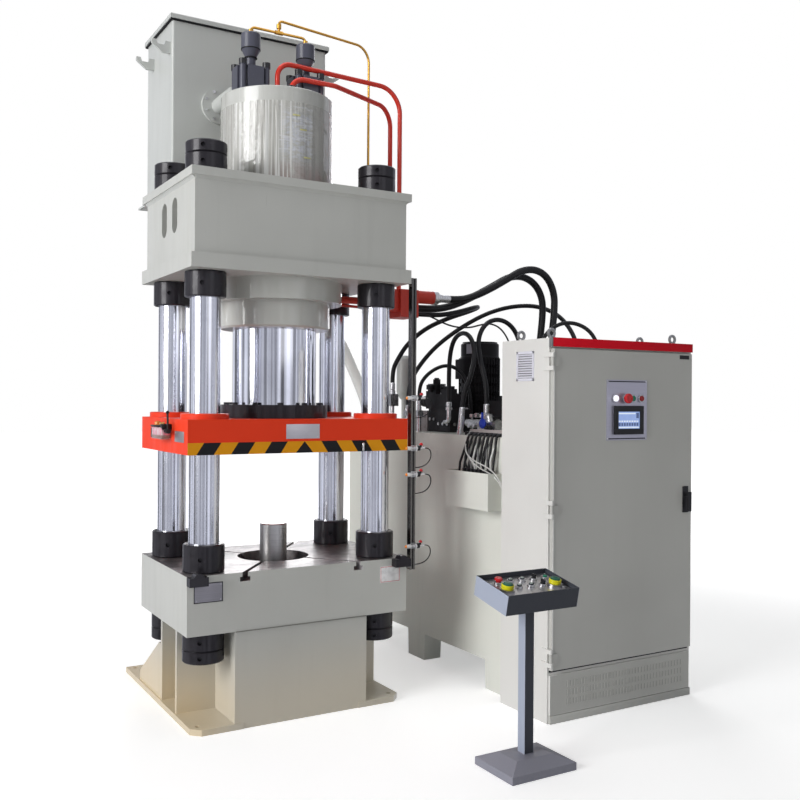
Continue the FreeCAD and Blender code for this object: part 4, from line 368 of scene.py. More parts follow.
# Grease gone brown at the bottom of its cup, with paler streaks above
greaseTone = {"streak": (0.80, 0.62, 0.66), "settled": (1.422, 1.416), "brown": (0.20, 0.06, 0.015)}
greaseFill.over(greaseFill.noise(60.0, 2.0, (1.0, 1.0, 0.25)).span(0.5, 0.65), greaseTone["streak"])
greaseFill.over(greaseFill.z.span(*greaseTone["settled"]), greaseTone["brown"])

# Film: a silver-blue creased patch in front as a painted reflection, painted shade to the right, dirt low
# down, painted highlight and shade streaks, upright wrinkles all round
filmLook = {"patchLeft": (-0.11, -0.06), "patchRight": (0.10, 0.05), "patchLow": (2.78, 2.86),
            "patchHigh": (3.09, 3.04), "reflectionPatch": (0.76, 0.79, 0.90), "rightShadeFrom": (0.06, 0.26),
            "rightShade": (0.30, 0.275, 0.25), "dirtHeight": (2.86, 2.70), "dirtFrom": (-0.22, -0.04),
            "dirt": (0.34, 0.17, 0.16), "highlightFrom": (0.02, -0.06), "bright": (1.0, 1.0, 0.98),
            "shaded": (0.36, 0.35, 0.32), "creaseX": (-0.10, 0.08), "creaseHeight": (2.76, 2.90),
            "crease": (0.92, 0.94, 1.0), "wrinkle": 0.009, "crumple": 0.006, "crumpleFrom": (-0.12, 0.02)}
# Painted reflection: a silver-blue patch on the film's front
reflectionPatch = filmWrap.x.span(*filmLook["patchLeft"]) * filmWrap.x.span(*filmLook["patchRight"])
reflectionPatch = reflectionPatch * (filmWrap.y < 0.0) * filmWrap.z.span(*filmLook["patchLow"])
reflectionPatch = reflectionPatch * filmWrap.z.span(*filmLook["patchHigh"])
reflectionPatch = reflectionPatch * filmWrap.noise(30.0, 3.0, (1.0, 1.0, 2.5)).span(0.40, 0.56)
filmWrap.over(reflectionPatch * 0.8, filmLook["reflectionPatch"])
# Painted shade: the film is darkened towards its right
filmWrap.over(filmWrap.x.span(*filmLook["rightShadeFrom"]) * 0.6, filmLook["rightShade"])
dirt = filmWrap.z.span(*filmLook["dirtHeight"]) * filmWrap.x.span(*filmLook["dirtFrom"])
dirt = dirt * filmWrap.noise(9.0, 4.0).span(0.25, 0.55)
filmWrap.over(dirt * 0.75, filmLook["dirt"])
# Painted highlights and painted shade: thin upright streaks, white on the left and darker all round, stand
# for the folds' glints and shade
litAndShadedStreaks = filmWrap.noise(1.0, 2.0, (70.0, 70.0, 1.2))
filmWrap.over(litAndShadedStreaks.span(0.53, 0.58) * filmWrap.x.span(*filmLook["highlightFrom"]), filmLook["bright"])
filmWrap.over(litAndShadedStreaks.span(0.44, 0.39) * 0.5, filmLook["shaded"])
# Painted highlight: whitish creases across the front stand for glints on the crumpled film
creaseGlints = filmWrap.noise(1.0, 3.0, (12.0, 12.0, 75.0)).span(0.54, 0.64)
creaseGlints = creaseGlints * filmWrap.x.within(*filmLook["creaseX"]) * (filmWrap.y < 0.0)
filmWrap.over(creaseGlints * filmWrap.z.span(*filmLook["creaseHeight"]) * 0.7, filmLook["crease"])
filmWrap.bump(filmWrap.noise(1.0, 2.0, (40.0, 40.0, 1.6)), filmLook["wrinkle"])
crumpled = filmWrap.noise(1.0, 3.0, (30.0, 30.0, 90.0))
filmWrap.bump(crumpled * filmWrap.x.span(*filmLook["crumpleFrom"]), filmLook["crumple"])

nodeFinish = {
    "accumulator": tankPaint, "ball_valve": zinc, "ball_valve_handle": bluePlastic, "base_frame": basePaint,
    "bed_beam": bedPaint, "cabinet_body": cabinetPaint, "cabinet_door": doorPaint,
    "cable_trough": stationPaint, "column_locknuts": blackSteel, "column_nuts": blackSteel,
    "columns": chrome, "corner_blocks": blackSteel, "crown_beam": pressPaint, "crown_manifold": manifoldRed,
    "cylinder_gland": cylinderPaint, "door_estop": redPlastic, "door_handle": blackPlastic,
    "door_start": greenPlastic, "door_stop": darkRedPlastic, "ejector_cylinder": darkSteel,
    "ejector_rod": rodSteel, "filling_pipe": tankPaint, "grease_lever": blackPlastic,
    "guide_bushes": redPaint, "head_tank": tankPaint, "head_tank_lid": tankPaint, "hose_fittings": zinc,
    "limit_rail": railMetal, "limit_switches": zinc, "main_cylinder": cylinderPaint, "mounting_plate": zinc,
    "oil_tank": stationPaint, "oil_tank_cover": stationPaint, "palm_button_left": palmGreen,
    "palm_button_right": palmGreen, "pedestal_box": slatePaint, "pedestal_estop": redPlastic,
    "pedestal_stand": slatePaint, "pedestal_start": greenPlastic, "pilot_pipe": goldPipe,
    "prefill_drum": filmedPaint, "prefill_valves": valvePaint, "pump_motor": motorPaint, "ram": ramChrome,
    "ram_flange": blackSteel, "selector_back": blackPlastic, "selector_front": blackPlastic,
    "slide_beam": slidePaint, "station_manifold": manifoldShadowBlack, "supply_pipes": pipeRed,
    "tank_bracket": tankPaint, "trough_cables": hoseRubber, "valve_bolts": valveBoltPaint,
    "valve_tower": darkSteel}
for name, finish in nodeFinish.items():
    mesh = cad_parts[name].data
    mesh.materials.clear()
    mesh.materials.append(finish.material)
print("frame painted")

outerMainRoute = [
    (1.127, 0, 2.206), (1.215, 0, 2.206), (1.31, -0.03, 2.24), (1.4, -0.07, 2.29),
    (1.485, -0.105, 2.345), (1.57, -0.13, 2.4), (1.682, -0.132, 2.413), (1.78, -0.122, 2.372),
    (1.846, -0.108, 2.275), (1.85, -0.103, 2.158), (1.828, -0.11, 2.04), (1.806, -0.124, 1.922),
    (1.792, -0.136, 1.81), (1.792, -0.136, 1.7)]
innerMainRoute = [
    (0.93, 0.054, 2.146), (1.04, 0.054, 2.146), (1.15, 0.054, 2.164), (1.258, 0.048, 2.204),
    (1.362, 0.024, 2.258), (1.458, -0.004, 2.314), (1.55, -0.028, 2.37), (1.655, -0.042, 2.378),
    (1.749, -0.044, 2.332), (1.808, -0.038, 2.245), (1.815, -0.03, 2.14), (1.803, -0.028, 2.025),
    (1.785, -0.033, 1.915), (1.768, -0.04, 1.81), (1.768, -0.04, 1.7)]
returnRoute = [
    (0.91, 0.098, 2.116), (1.01, 0.098, 2.116), (1.13, 0.093, 2.118), (1.265, 0.092, 2.146),
    (1.385, 0.108, 2.18), (1.478, 0.188, 2.196), (1.5, 0.32, 2.18), (1.43, 0.475, 2.142),
    (1.33, 0.585, 2.08), (1.232, 0.655, 1.98), (1.17, 0.686, 1.87), (1.14, 0.699, 1.795),
    (1.14, 0.699, 1.715)]
longRoute = [
    (1.13, 0.48, 1.568), (1.13, 0.48, 1.68), (1.19, 0.482, 1.795), (1.29, 0.45, 1.925),
    (1.395, 0.41, 2.02), (1.525, 0.36, 2.113), (1.655, 0.297, 2.185), (1.78, 0.212, 2.222),
    (1.885, 0.1, 2.218), (1.952, -0.025, 2.155), (1.978, -0.13, 2.04), (1.965, -0.205, 1.905),
    (1.93, -0.238, 1.795), (1.915, -0.246, 1.715), (1.915, -0.246, 1.65)]
lowRoute = [
    (1.165, 0.4, 1.615), (1.165, 0.4, 1.685), (1.205, 0.397, 1.75), (1.27, 0.388, 1.8),
    (1.345, 0.372, 1.828), (1.415, 0.35, 1.812), (1.466, 0.322, 1.75), (1.484, 0.3, 1.67),
    (1.486, 0.285, 1.59), (1.486, 0.285, 1.51)]
loopRoute = [
    (1.21, 0.125, 1.59), (1.21, 0.125, 1.69), (1.203, 0.114, 1.795), (1.204, 0.104, 1.892),
    (1.202, 0.066, 1.966), (1.198, -0.001, 2.003), (1.192, -0.079, 2.003), (1.188, -0.146, 1.966),
    (1.185, -0.185, 1.892), (1.17, -0.192, 1.805), (1.148, -0.185, 1.722), (1.12, -0.168, 1.645),
    (1.114, -0.164, 1.56)]
archRoute = [
    (1.25, -0.215, 1.58), (1.25, -0.215, 1.68), (1.238, -0.19, 1.78), (1.232, -0.16, 1.88),
    (1.236, -0.146, 1.968), (1.279, -0.138, 2.045), (1.356, -0.13, 2.088), (1.444, -0.124, 2.086),
    (1.521, -0.12, 2.04), (1.565, -0.12, 1.96), (1.574, -0.124, 1.872), (1.562, -0.134, 1.785),
    (1.562, -0.134, 1.7)]
farRoute = [
    (1.645, -0.225, 1.69), (1.645, -0.225, 1.78), (1.638, -0.222, 1.866), (1.644, -0.224, 1.949),
    (1.683, -0.248, 2.028), (1.753, -0.289, 2.076), (1.833, -0.335, 2.074), (1.903, -0.376, 2.028),
    (1.942, -0.4, 1.949), (1.942, -0.402, 1.86), (1.93, -0.398, 1.775), (1.93, -0.398, 1.69)]
sensorRoute = [
    (0.88, -0.02, 2.108), (0.935, -0.02, 2.108), (0.992, -0.026, 2.088), (1.05, -0.034, 2.062),
    (1.112, -0.044, 2.042), (1.175, -0.056, 2.034), (1.238, -0.07, 2.038), (1.298, -0.084, 2.056),
    (1.356, -0.098, 2.066), (1.41, -0.116, 2.046), (1.448, -0.136, 1.996), (1.466, -0.156, 1.932),
    (1.47, -0.176, 1.862), (1.462, -0.19, 1.794), (1.462, -0.19, 1.728)]
clearRoute = [
    (0.363, 0.682, 2.7), (0.363, 0.682, 2.59), (0.405, 0.699, 2.447), (0.486, 0.733, 2.326),
    (0.59, 0.776, 2.226), (0.699, 0.821, 2.134), (0.801, 0.864, 2.034), (0.89, 0.901, 1.919),
    (0.969, 0.934, 1.796), (1.047, 0.966, 1.672), (1.108, 0.991, 1.552), (1.127, 1, 1.44)]
switchCableSteps = [
    (0, 0, 0), (0.026, 0, 0), (0.045, 0.005, -0.024), (0.047, 0.012, -0.058), (0.03, 0.024, -0.09),
    (-0.006, 0.034, -0.106), (-0.045, 0.034, -0.106)]


def cordCurve(name, node, route, diameter, length, finish):
    line = bpy.data.curves.new(name, "CURVE")
    line.dimensions = "3D"
    line.bevel_depth = diameter / 2
    line.bevel_resolution = 6
    line.resolution_u = 10
    line.use_fill_caps = True
    spline = line.splines.new("NURBS")
    spline.points.add(len(route) - 1)
    for point, place in zip(spline.points, route):
        point.co = (*place, 1.0)
    spline.order_u = 3
    spline.use_endpoint_u = True
    piece = bpy.data.objects.new(name, line)
    bpy.context.scene.collection.objects.link(piece)
    line.materials.append(finish.material)
    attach(piece, "frame")
    if node:
        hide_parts(node)
    return piece


cordCurve("OuterMainHose", "main_hoses", outerMainRoute, 0.044, 1.422, hoseRubber)
cordCurve("InnerMainHose", "main_hoses", innerMainRoute, 0.044, 1.537, hoseRubber)
cordCurve("ReturnHose", "station_hoses", returnRoute, 0.03, 1.508, hoseRubber)
cordCurve("LongHose", "station_hoses", longRoute, 0.028, 1.916, hoseRubber)
cordCurve("LowHose", "station_hoses", lowRoute, 0.024, 0.708, hoseRubber)
cordCurve("LoopHose", "station_hoses", loopRoute, 0.028, 1.035, hoseRubber)
cordCurve("ArchHose", "station_hoses", archRoute, 0.028, 1.094, hoseRubber)
cordCurve("FarHose", "station_hoses", farRoute, 0.024, 0.971, hoseRubber)
cordCurve("SensorCable", "sensor_cable", sensorRoute, 0.01, 0.899, hoseRubber)
cordCurve("ClearHose", "clear_hose", clearRoute, 0.074, 1.556, clearHose)
switch = {"heights": (0.819, 1.202, 1.342, 1.611), "exit": (0.7, -0.412), "cable": 0.006, "length": 0.204}
for index, height in enumerate(switch["heights"]):
    route = [(switch["exit"][0] + x, switch["exit"][1] + y, height + z) for x, y, z in switchCableSteps]
    cordCurve("SwitchCable%d" % (index + 1), "switch_cables", route, switch["cable"], switch["length"],
              hoseRubber)


def routeLength(route, steps=24):
    # The curve is a chain of parabolas that meet halfway between the inner points
    points = [Vector(point) for point in route]
    joints = [points[0]] + [(a + b) / 2 for a, b in zip(points[1:-2], points[2:-1])] + [points[-1]]
    shares = [step / steps for step in range(steps + 1)]
    total = 0.0
    for start, bend, end in zip(joints, points[1:-1], joints[1:]):
        path = [start * (1 - t) ** 2 + bend * 2 * t * (1 - t) + end * t * t for t in shares]
        total += sum((b - a).length for a, b in zip(path, path[1:]))
    return total


# Thinner cables lie between the trough's own; two white ones cross them and go down behind the cabinet
bundle = {"diameter": 0.011, "top": (1.101, -0.254, 1.412), "mouth": (1.046, -0.322, 1.180),
          "topPitch": -0.046, "mouthPitch": -0.0375, "bow": 0.022, "sway": 0.012, "swayBack": 0.6}
bundleFinishes = (hoseRubber, greyCable, whiteCable, greyCable, hoseRubber, greyCable, whiteCable)
for index, finish in enumerate(bundleFinishes):
    top = Vector(bundle["top"]) + Vector((0, bundle["topPitch"] * index, 0))
    mouth = Vector(bundle["mouth"]) + Vector((0, bundle["mouthPitch"] * index, 0))
    sway = bundle["sway"] * (1 if index % 2 else -1)
    upper = top.lerp(mouth, 0.35) + Vector((-bundle["bow"], sway, 0))
    lower = top.lerp(mouth, 0.65) + Vector((-bundle["bow"], -sway * bundle["swayBack"], 0))
    route = [top, top.lerp(mouth, 0.12), upper, lower, top.lerp(mouth, 0.88), mouth]
    cordCurve("BundleCable%d" % (index + 1), None, route, bundle["diameter"], routeLength(route), finish)
whiteDiameter = 0.007
whiteRoutes = [
    [(1.104, -0.236, 1.420), (1.078, -0.252, 1.372), (1.046, -0.300, 1.312), (1.028, -0.374, 1.262),
     (1.022, -0.470, 1.226), (1.024, -0.560, 1.206), (1.030, -0.622, 1.176), (1.040, -0.662, 1.120),
     (1.046, -0.694, 1.050)],
    [(1.104, -0.256, 1.420), (1.076, -0.266, 1.376), (1.040, -0.300, 1.330), (1.020, -0.356, 1.290),
     (1.014, -0.440, 1.262), (1.016, -0.540, 1.240), (1.024, -0.612, 1.206), (1.036, -0.656, 1.150),
     (1.044, -0.694, 1.080)]]
for index, route in enumerate(whiteRoutes):
    cordCurve("WhiteCable%d" % (index + 1), None, route, whiteDiameter, routeLength(route), whiteCable)
print("cords laid")


class Piece:
    # A detail gathered from shapes that are each made in a bmesh of their own
    def __init__(self, name, finish, slot, body="frame", base=None):
        self.name = name
        self.finish = finish
        self.slot = slot
        self.body = body
        self.base = base or Matrix.Identity(4)
        self.shape = bmesh.new()

    def take(self, part, place=(0, 0, 0), way=None, turn=None):
        bmesh.ops.remove_doubles(part, verts=part.verts, dist=0.00001)
        bmesh.ops.recalc_face_normals(part, faces=part.faces)
        matrix = self.base @ Matrix.Translation(place)
        if way:
            matrix = matrix @ Vector(way).to_track_quat("Z", "Y").to_matrix().to_4x4()
        if turn:
            matrix = matrix @ turn
        bmesh.ops.transform(part, matrix=matrix, verts=part.verts)
        loose = bpy.data.meshes.new("Loose")
        part.to_mesh(loose)
        part.free()
        self.shape.from_mesh(loose)
        bpy.data.meshes.remove(loose)
        return self

    def box(self, low, high, edge=0.0008, turn=None, segments=2):
        part = bmesh.new()
        bmesh.ops.create_cube(part, size=1.0)
        bmesh.ops.scale(part, vec=Vector(high) - Vector(low), verts=part.verts)
        bmesh.ops.bevel(part, geom=part.edges[:], offset=edge, offset_type="OFFSET", affect="EDGES",
                        segments=segments, profile=0.5, material=-1)
        return self.take(part, (Vector(low) + Vector(high)) / 2, turn=turn)

    def lathe(self, profile, place, way=(0, 0, 1), steps=32, closed=False):
        # A profile of (radius, height) points, spun round the way it points
        part = bmesh.new()
        points = [part.verts.new((radius, 0.0, height)) for radius, height in profile]
        pairs = list(zip(points, points[1:])) + ([(points[-1], points[0])] if closed else [])
        lines = [part.edges.new(pair) for pair in pairs]
        bmesh.ops.spin(part, geom=points + lines, cent=(0, 0, 0), axis=(0, 0, 1), angle=math.tau, steps=steps,
                       use_merge=True, use_duplicate=False)
        return self.take(part, place, way)

    def rod(self, place, way, radius, length, edge=0.0008, steps=24):
        profile = [(0, 0), (radius - edge, 0), (radius, edge), (radius, length - edge),
                   (radius - edge, length), (0, length)]
        return self.lathe(profile, place, way, steps)

    def ring(self, place, way, outer, inner, length, edge=0.0008, steps=32):
        profile = [(inner + edge, 0), (outer - edge, 0), (outer, edge), (outer, length - edge),
                   (outer - edge, length), (inner + edge, length), (inner, length - edge), (inner, edge)]
        return self.lathe(profile, place, way, steps, True)

    def dome(self, place, way, radius, height, steps=24):
        turns = [step * math.pi / 12 for step in range(6)]
        arc = [(radius * math.cos(turn), height * math.sin(turn)) for turn in turns]
        return self.lathe([(0, 0)] + arc + [(0, height)], place, way, steps)

    def done(self, replaces=None):
        mesh = bpy.data.meshes.new(self.name)
        self.shape.to_mesh(mesh)
        self.shape.free()
        mesh.shade_smooth()
        mesh.set_sharp_from_angle(angle=math.radians(35))
        mesh.materials.append(self.finish.material)
        piece = bpy.data.objects.new(self.name, mesh)
        bpy.context.scene.collection.objects.link(piece)
        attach(piece, self.body)
        if replaces:
            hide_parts(replaces)
        return piece


front = (0, -1, 0)
left = (-1, 0, 0)
up = (0, 0, 1)


def plate(name, finish, low, high, body="frame", screw=0.0026, inset=0.008):
    # A bare plate with a small rivet in each corner; it is thin along one axis
    bare = Piece(name, finish, "bare_steel", body).box(low, high, 0.0004)
    rivets = Piece(name + "Rivets", zinc, "bare_steel", body)
    thin = min(range(3), key=lambda axis: high[axis] - low[axis])
    first, second = [axis for axis in range(3) if axis != thin]
    for a in (low[first] + inset, high[first] - inset):
        for b in (low[second] + inset, high[second] - inset):
            place = [0.0, 0.0, 0.0]
            place[first], place[second], place[thin] = a, b, low[thin] + 0.0004
            rivets.dome(place, [-1.0 if axis == thin else 0.0 for axis in range(3)], screw, 0.0014, 12)
    bare.done()
    rivets.done()


plates = {
    "SlidePlate": (palePlate, (-0.101, -0.3974, 1.403), (0.082, -0.3959, 1.476), "slide"),
    "SlideSidePlate": (palePlate, (-0.6035, -0.341, 1.389), (-0.6019, -0.196, 1.442), "slide"),
    "BedPlateLeft": (barePlate, (-0.564, -0.3965, 0.634), (-0.427, -0.3949, 0.722), "frame")}
for name, (finish, low, high, body) in plates.items():
    plate(name, finish, low, high, body)
whitePlate = {"low": (0.440, -0.3965, 0.636), "high": (0.560, -0.3949, 0.722), "edge": 0.0004}
bedPlate = Piece("BedPlateRight", whitePlastic, "bare_steel")
bedPlate.box(whitePlate["low"], whitePlate["high"], whitePlate["edge"]).done()


def border(name, finish, slot, low, high, width, front=-0.3969, back=-0.3948):
    # Four thin strips round a plate on the bed's front
    strips = Piece(name, finish, slot)
    (x0, z0), (x1, z1) = low, high
    for first, second in (((x0, z0), (x1, z0 + width)), ((x0, z1 - width), (x1, z1)),
                          ((x0, z0), (x0 + width, z1)), ((x1 - width, z0), (x1, z1))):
        strips.box((first[0], front, first[1]), (second[0], back, second[1]), 0.0003)
    strips.done()


border("PlateFrame", boreBlack, "black_steel", (-0.567, 0.631), (-0.424, 0.725), 0.0035)
border("PlateBorder", redPlastic, "red_paint", (0.443, 0.639), (0.557, 0.719), 0.0022)

# The joint between the base and the bed shows as a thin line across the front
joint = {"low": (-0.3580, -0.4012, 0.4728), "high": (0.3580, -0.3945, 0.4762)}
Piece("BedSeam", seamPaint, "press_paint").box(joint["low"], joint["high"]).done()

# A small rod hangs in front of the slide, on its right
guideRod = {"place": (0.330, -0.4045, 1.336), "radius": 0.0055, "length": 0.034,
            "ball": (0.330, -0.4045, 1.368), "ballRadius": 0.008, "ballHeight": 0.010,
            "bracket": ((0.325, -0.4045, 1.352), (0.335, -0.3955, 1.360))}
rodPiece = Piece("GuideRod", zinc, "bare_steel", "slide")
rodPiece.rod(guideRod["place"], up, guideRod["radius"], guideRod["length"])
rodPiece.dome(guideRod["ball"], up, guideRod["ballRadius"], guideRod["ballHeight"])
rodPiece.box(*guideRod["bracket"]).done()

# Grease pump: a clear cup on the slide's side, with its head, filler cap and pipe ends
pump = {"low": (-0.6600, -0.146, 1.396), "high": (-0.6040, 0.030, 1.462), "wall": 0.004, "round": 0.013,
        "lever": (-0.632, -0.150, 1.440), "leverRadius": 0.012, "leverLength": 0.0218,
        "housing": ((-0.652, -0.150, 1.446), (-0.604, -0.112, 1.474)),
        "lid": ((-0.660, -0.112, 1.458), (-0.606, 0.028, 1.467)),
        "gauge": ((-0.6600, 0.006, 1.404), (-0.6592, 0.018, 1.452)),
        "cap": (-0.632, -0.004, 1.466),
        "capProfile": [(0, 0), (0.014, 0), (0.0155, 0.002), (0.0155, 0.012), (0.013, 0.018), (0.006, 0.020),
                       (0, 0.020)],
        "nipples": (((-0.632, -0.055, 1.465), up, 0.0055, 0.016),
                    ((-0.632, -0.075, 1.465), up, 0.0055, 0.016),
                    ((-0.640, -0.136, 1.474), up, 0.006, 0.010),
                    ((-0.6045, 0.010, 1.440), (1, 0, 0), 0.008, 0.0024))}
inner = [[pump["low"][axis] + pump["wall"] for axis in range(3)],
         [pump["high"][axis] - pump["wall"] for axis in range(3)]]
cup = Piece("GreaseCup", clearCup, "clear_plastic", "slide")
cup.box(pump["low"], pump["high"], pump["round"], segments=5).done("grease_pump")
grease = Piece("Grease", greaseFill, "red_plastic", "slide")
grease.box(*inner, pump["round"] - pump["wall"], segments=5).done()
pumpHead = Piece("PumpHead", blackPlastic, "black_plastic", "slide")
pumpHead.box(*pump["housing"], 0.003)
pumpHead.rod(pump["lever"], front, pump["leverRadius"], pump["leverLength"])
pumpHead.box(*pump["lid"], 0.003)
pumpHead.box(*pump["gauge"], 0.0003).done()
Piece("FillerCap", orangePlastic, "red_plastic", "slide").lathe(pump["capProfile"], pump["cap"]).done()
nipples = Piece("PumpFittings", brass, "gold_metal", "slide")
for place, way, radius, length in pump["nipples"]:
    nipples.rod(place, way, radius, length, steps=6)
nipples.done()
print("slide dressed")

# The drum stays wrapped in film: many upright folds, creases across one side, a gathered edge above
film = {"centre": (0.007, 0.0), "radius": 0.2996, "low": 2.6955, "high": 3.118, "rows": 96, "steps": 360,
        "fold": 0.0022, "foldScale": 13, "foldRise": 0.9, "crease": 0.0022, "creaseScale": 9,
        "creaseRise": 42, "creaseSlant": 6, "creaseWay": (0.36, -0.93, 0.0), "creaseFrom": 0.72,
        "edgeWay": (0.87, 0.5), "edgeFrom": 0.86, "hem": 0.003, "hemHeight": 0.02, "hemScale": 14}
wrap = bmesh.new()
rise = (film["high"] - film["low"]) / film["rows"]
points = [wrap.verts.new((film["radius"], 0.0, film["low"] + rise * row)) for row in range(film["rows"] + 1)]
upright = [wrap.edges.new(pair) for pair in zip(points, points[1:])]
bmesh.ops.spin(wrap, geom=points + upright, cent=(0, 0, 0), axis=(0, 0, 1), angle=math.tau,
               steps=film["steps"], use_merge=True, use_duplicate=False)
for vert in wrap.verts:
    height = vert.co.z
    around = Vector((vert.co.x, vert.co.y, 0)).normalized()
    folds = abs(noise.noise(Vector((around.x * film["foldScale"], around.y * film["foldScale"],
                                    height * film["foldRise"]))))
    toSide = around.dot(Vector(film["creaseWay"])) - film["creaseFrom"]
    toEdge = abs(around.x * film["edgeWay"][0] + around.y * film["edgeWay"][1]) - film["edgeFrom"]
    side = max(0.0, toSide) / (1 - film["creaseFrom"])
    edge = max(0.0, toEdge) / (1 - film["edgeFrom"])
    creases = abs(noise.noise(Vector((around.x * film["creaseScale"], around.y * film["creaseScale"],
                                      height * film["creaseRise"] + film["creaseSlant"] * around.y))))
    creases *= min(1.0, side + edge)
    nearHem = max(0.0, 1 - (film["high"] - height) / film["hemHeight"])
    hem = nearHem * abs(noise.noise(around * film["hemScale"]))
    vert.co += around * (film["fold"] * folds + film["crease"] * creases + film["hem"] * hem)
Piece("DrumFilm", filmWrap, "clear_plastic").take(wrap, (*film["centre"], 0)).done()
tape = {"size": (0.040, 0.0010, 0.008), "stand": 0.0024,
        "places": ((-94.2, 3.050), (-86.8, 2.980), (-82.2, 2.840))}
tapes = Piece("FilmTapes", tapePlastic, "clear_plastic")
half = Vector(tape["size"]) / 2
reach = film["radius"] + tape["stand"]
for degrees, z in tape["places"]:
    angle = math.radians(degrees)
    middle = Vector((film["centre"][0] + reach * math.cos(angle), reach * math.sin(angle), z))
    tapes.box(middle - half, middle + half, 0.0003, Matrix.Rotation(angle + math.pi / 2, 4, "Z"))
tapes.done()

# Pipe nuts on the drum's lid, rings on the filling valves, the tank lid's dark seal, which is also a painted
# shadow under the lid, bolts of the filling flange
supplyNuts = {"places": ((-0.020, -0.062), (0.038, -0.104)), "lower": (3.1945, 0.0265, 0.045),
              "upper": (3.2380, 0.0230, 0.026)}
nuts = Piece("SupplyNuts", blackSteel, "black_steel")
for x, y in supplyNuts["places"]:
    for z, radius, height in (supplyNuts["lower"], supplyNuts["upper"]):
        nuts.rod((x, y, z), up, radius, height, 0.002, 6)
nuts.done()
valveRings = {"x": (-0.147, 0.170), "lower": (3.404, 0.0345, 0.0262), "upper": (3.449, 0.0520, 0.0440),
              "height": 0.006}
rings = Piece("ValveRings", boreBlack, "black_steel")
for x in valveRings["x"]:
    for z, outer, hole in (valveRings["lower"], valveRings["upper"]):
        rings.ring((x, 0, z), up, outer, hole, valveRings["height"])
rings.done()
# The dark seal under the lid is a real seal and also a painted shadow line
lidSealShadow = {"low": (-0.4485, 0.4285, 3.7035), "high": (0.5185, 0.9495, 3.7118)}
Piece("LidSealShadow", boreBlack, "black_rubber").box(lidSealShadow["low"], lidSealShadow["high"], 0.001).done()
flange = {"centre": (-0.170, 0.4205, 3.262), "bolts": 8, "circle": 0.082, "head": 0.009, "headHeight": 0.007}
bolts = Piece("FlangeBolts", zinc, "bare_steel")
for step in range(flange["bolts"]):
    angle = math.tau * (step + 0.5) / flange["bolts"]
    x, y, z = flange["centre"]
    bolts.rod((x + flange["circle"] * math.cos(angle), y, z + flange["circle"] * math.sin(angle)), front,
              flange["head"], flange["headHeight"], steps=6)
bolts.done()
print("top dressed")

# Limit switches: orange tip and pale sleeve on the left, black ring and red cap on the right
switchEnds = {"y": -0.412, "tip": 0.5885, "sleeve": 0.594, "ring": 0.656, "plug": 0.672, "plugDrop": 0.004,
              "cap": 0.677, "capRise": 0.016, "lean": (0.25, 0, 1)}
tips = Piece("SwitchTips", orangePlastic, "red_plastic")
sleeves = Piece("SwitchSleeves", whitePlastic, "bare_steel")
blackRings = Piece("SwitchRings", blackPlastic, "black_plastic")
caps = Piece("SwitchCaps", redPlastic, "red_plastic")
for z in switch["heights"]:
    y, lean = switchEnds["y"], switchEnds["lean"]
    tips.dome((switchEnds["tip"], y, z), left, 0.0085, 0.008, 16)
    sleeves.ring((switchEnds["sleeve"], y, z), (1, 0, 0), 0.0105, 0.0062, 0.022)
    blackRings.ring((switchEnds["ring"], y, z), (1, 0, 0), 0.0135, 0.0062, 0.012)
    blackRings.rod((switchEnds["plug"], y, z - switchEnds["plugDrop"]), lean, 0.006, 0.020, steps=12)
    caps.dome((switchEnds["cap"], y, z + switchEnds["capRise"]), lean, 0.0105, 0.014, 16)
for piece in (tips, sleeves, blackRings, caps):
    piece.done()

# Motor: ribs stand out of its sides, a bare plate, box lid, cable gland and a raised ring on its cowl
motor = {"centre": (1.635, 0.398), "radius": 0.130, "low": 1.500, "high": 1.880, "ribs": 40, "stand": 0.004,
         "ribDepth": 0.010, "ribHalf": 0.002, "boxSide": 0.5, "plateAngle": 205, "plateHalf": 0.026,
         "plateBack": 0.002, "plateLow": 1.906, "plateHeight": 0.062,
         "lid": ((1.4745, 0.348, 1.740), (1.4780, 0.448, 1.870)), "screwX": 1.4748, "screwY": (0.356, 0.440),
         "screwZ": (1.752, 1.858), "gland": (1.506, 0.398, 1.7455), "glandEnd": (1.506, 0.398, 1.724),
         "cowl": (1.635, 0.398, 1.9825)}


def motorSide(angle):
    x, y = motor["centre"]
    return x + motor["radius"] * math.cos(angle), y + motor["radius"] * math.sin(angle)


ribs = Piece("MotorRibs", motorPaint, "station_paint")
for step in range(motor["ribs"]):
    angle = math.tau * step / motor["ribs"]
    x, y = motorSide(angle)
    turn = Matrix.Rotation(angle, 4, "Z")
    if abs(angle - math.pi) > motor["boxSide"]:
        ribs.box((x - motor["ribDepth"], y - motor["ribHalf"], motor["low"]),
                 (x + motor["stand"], y + motor["ribHalf"], motor["high"]), turn=turn)
ribs.done()
angle = math.radians(motor["plateAngle"])
x, y = motorSide(angle)
motorPlate = Piece("MotorPlate", barePlate, "bare_steel")
motorPlate.box((x - motor["plateBack"], y - motor["plateHalf"], motor["plateLow"]),
               (x + motor["stand"], y + motor["plateHalf"], motor["plateLow"] + motor["plateHeight"]), 0.0006,
               Matrix.Rotation(angle, 4, "Z"))
motorPlate.done()
motorBox = Piece("MotorBox", motorPaint, "station_paint")
motorBox.box(*motor["lid"], 0.001)
for z in motor["screwZ"]:
    for y in motor["screwY"]:
        motorBox.rod((motor["screwX"], y, z), left, 0.004, 0.004, steps=6)
motorBox.rod(motor["gland"], (0, 0, -1), 0.014, 0.022, 0.002, 6)
motorBox.rod(motor["glandEnd"], (0, 0, -1), 0.010, 0.012, 0.002)
motorBox.ring(motor["cowl"], up, 0.116, 0.100, 0.003)
motorBox.done()

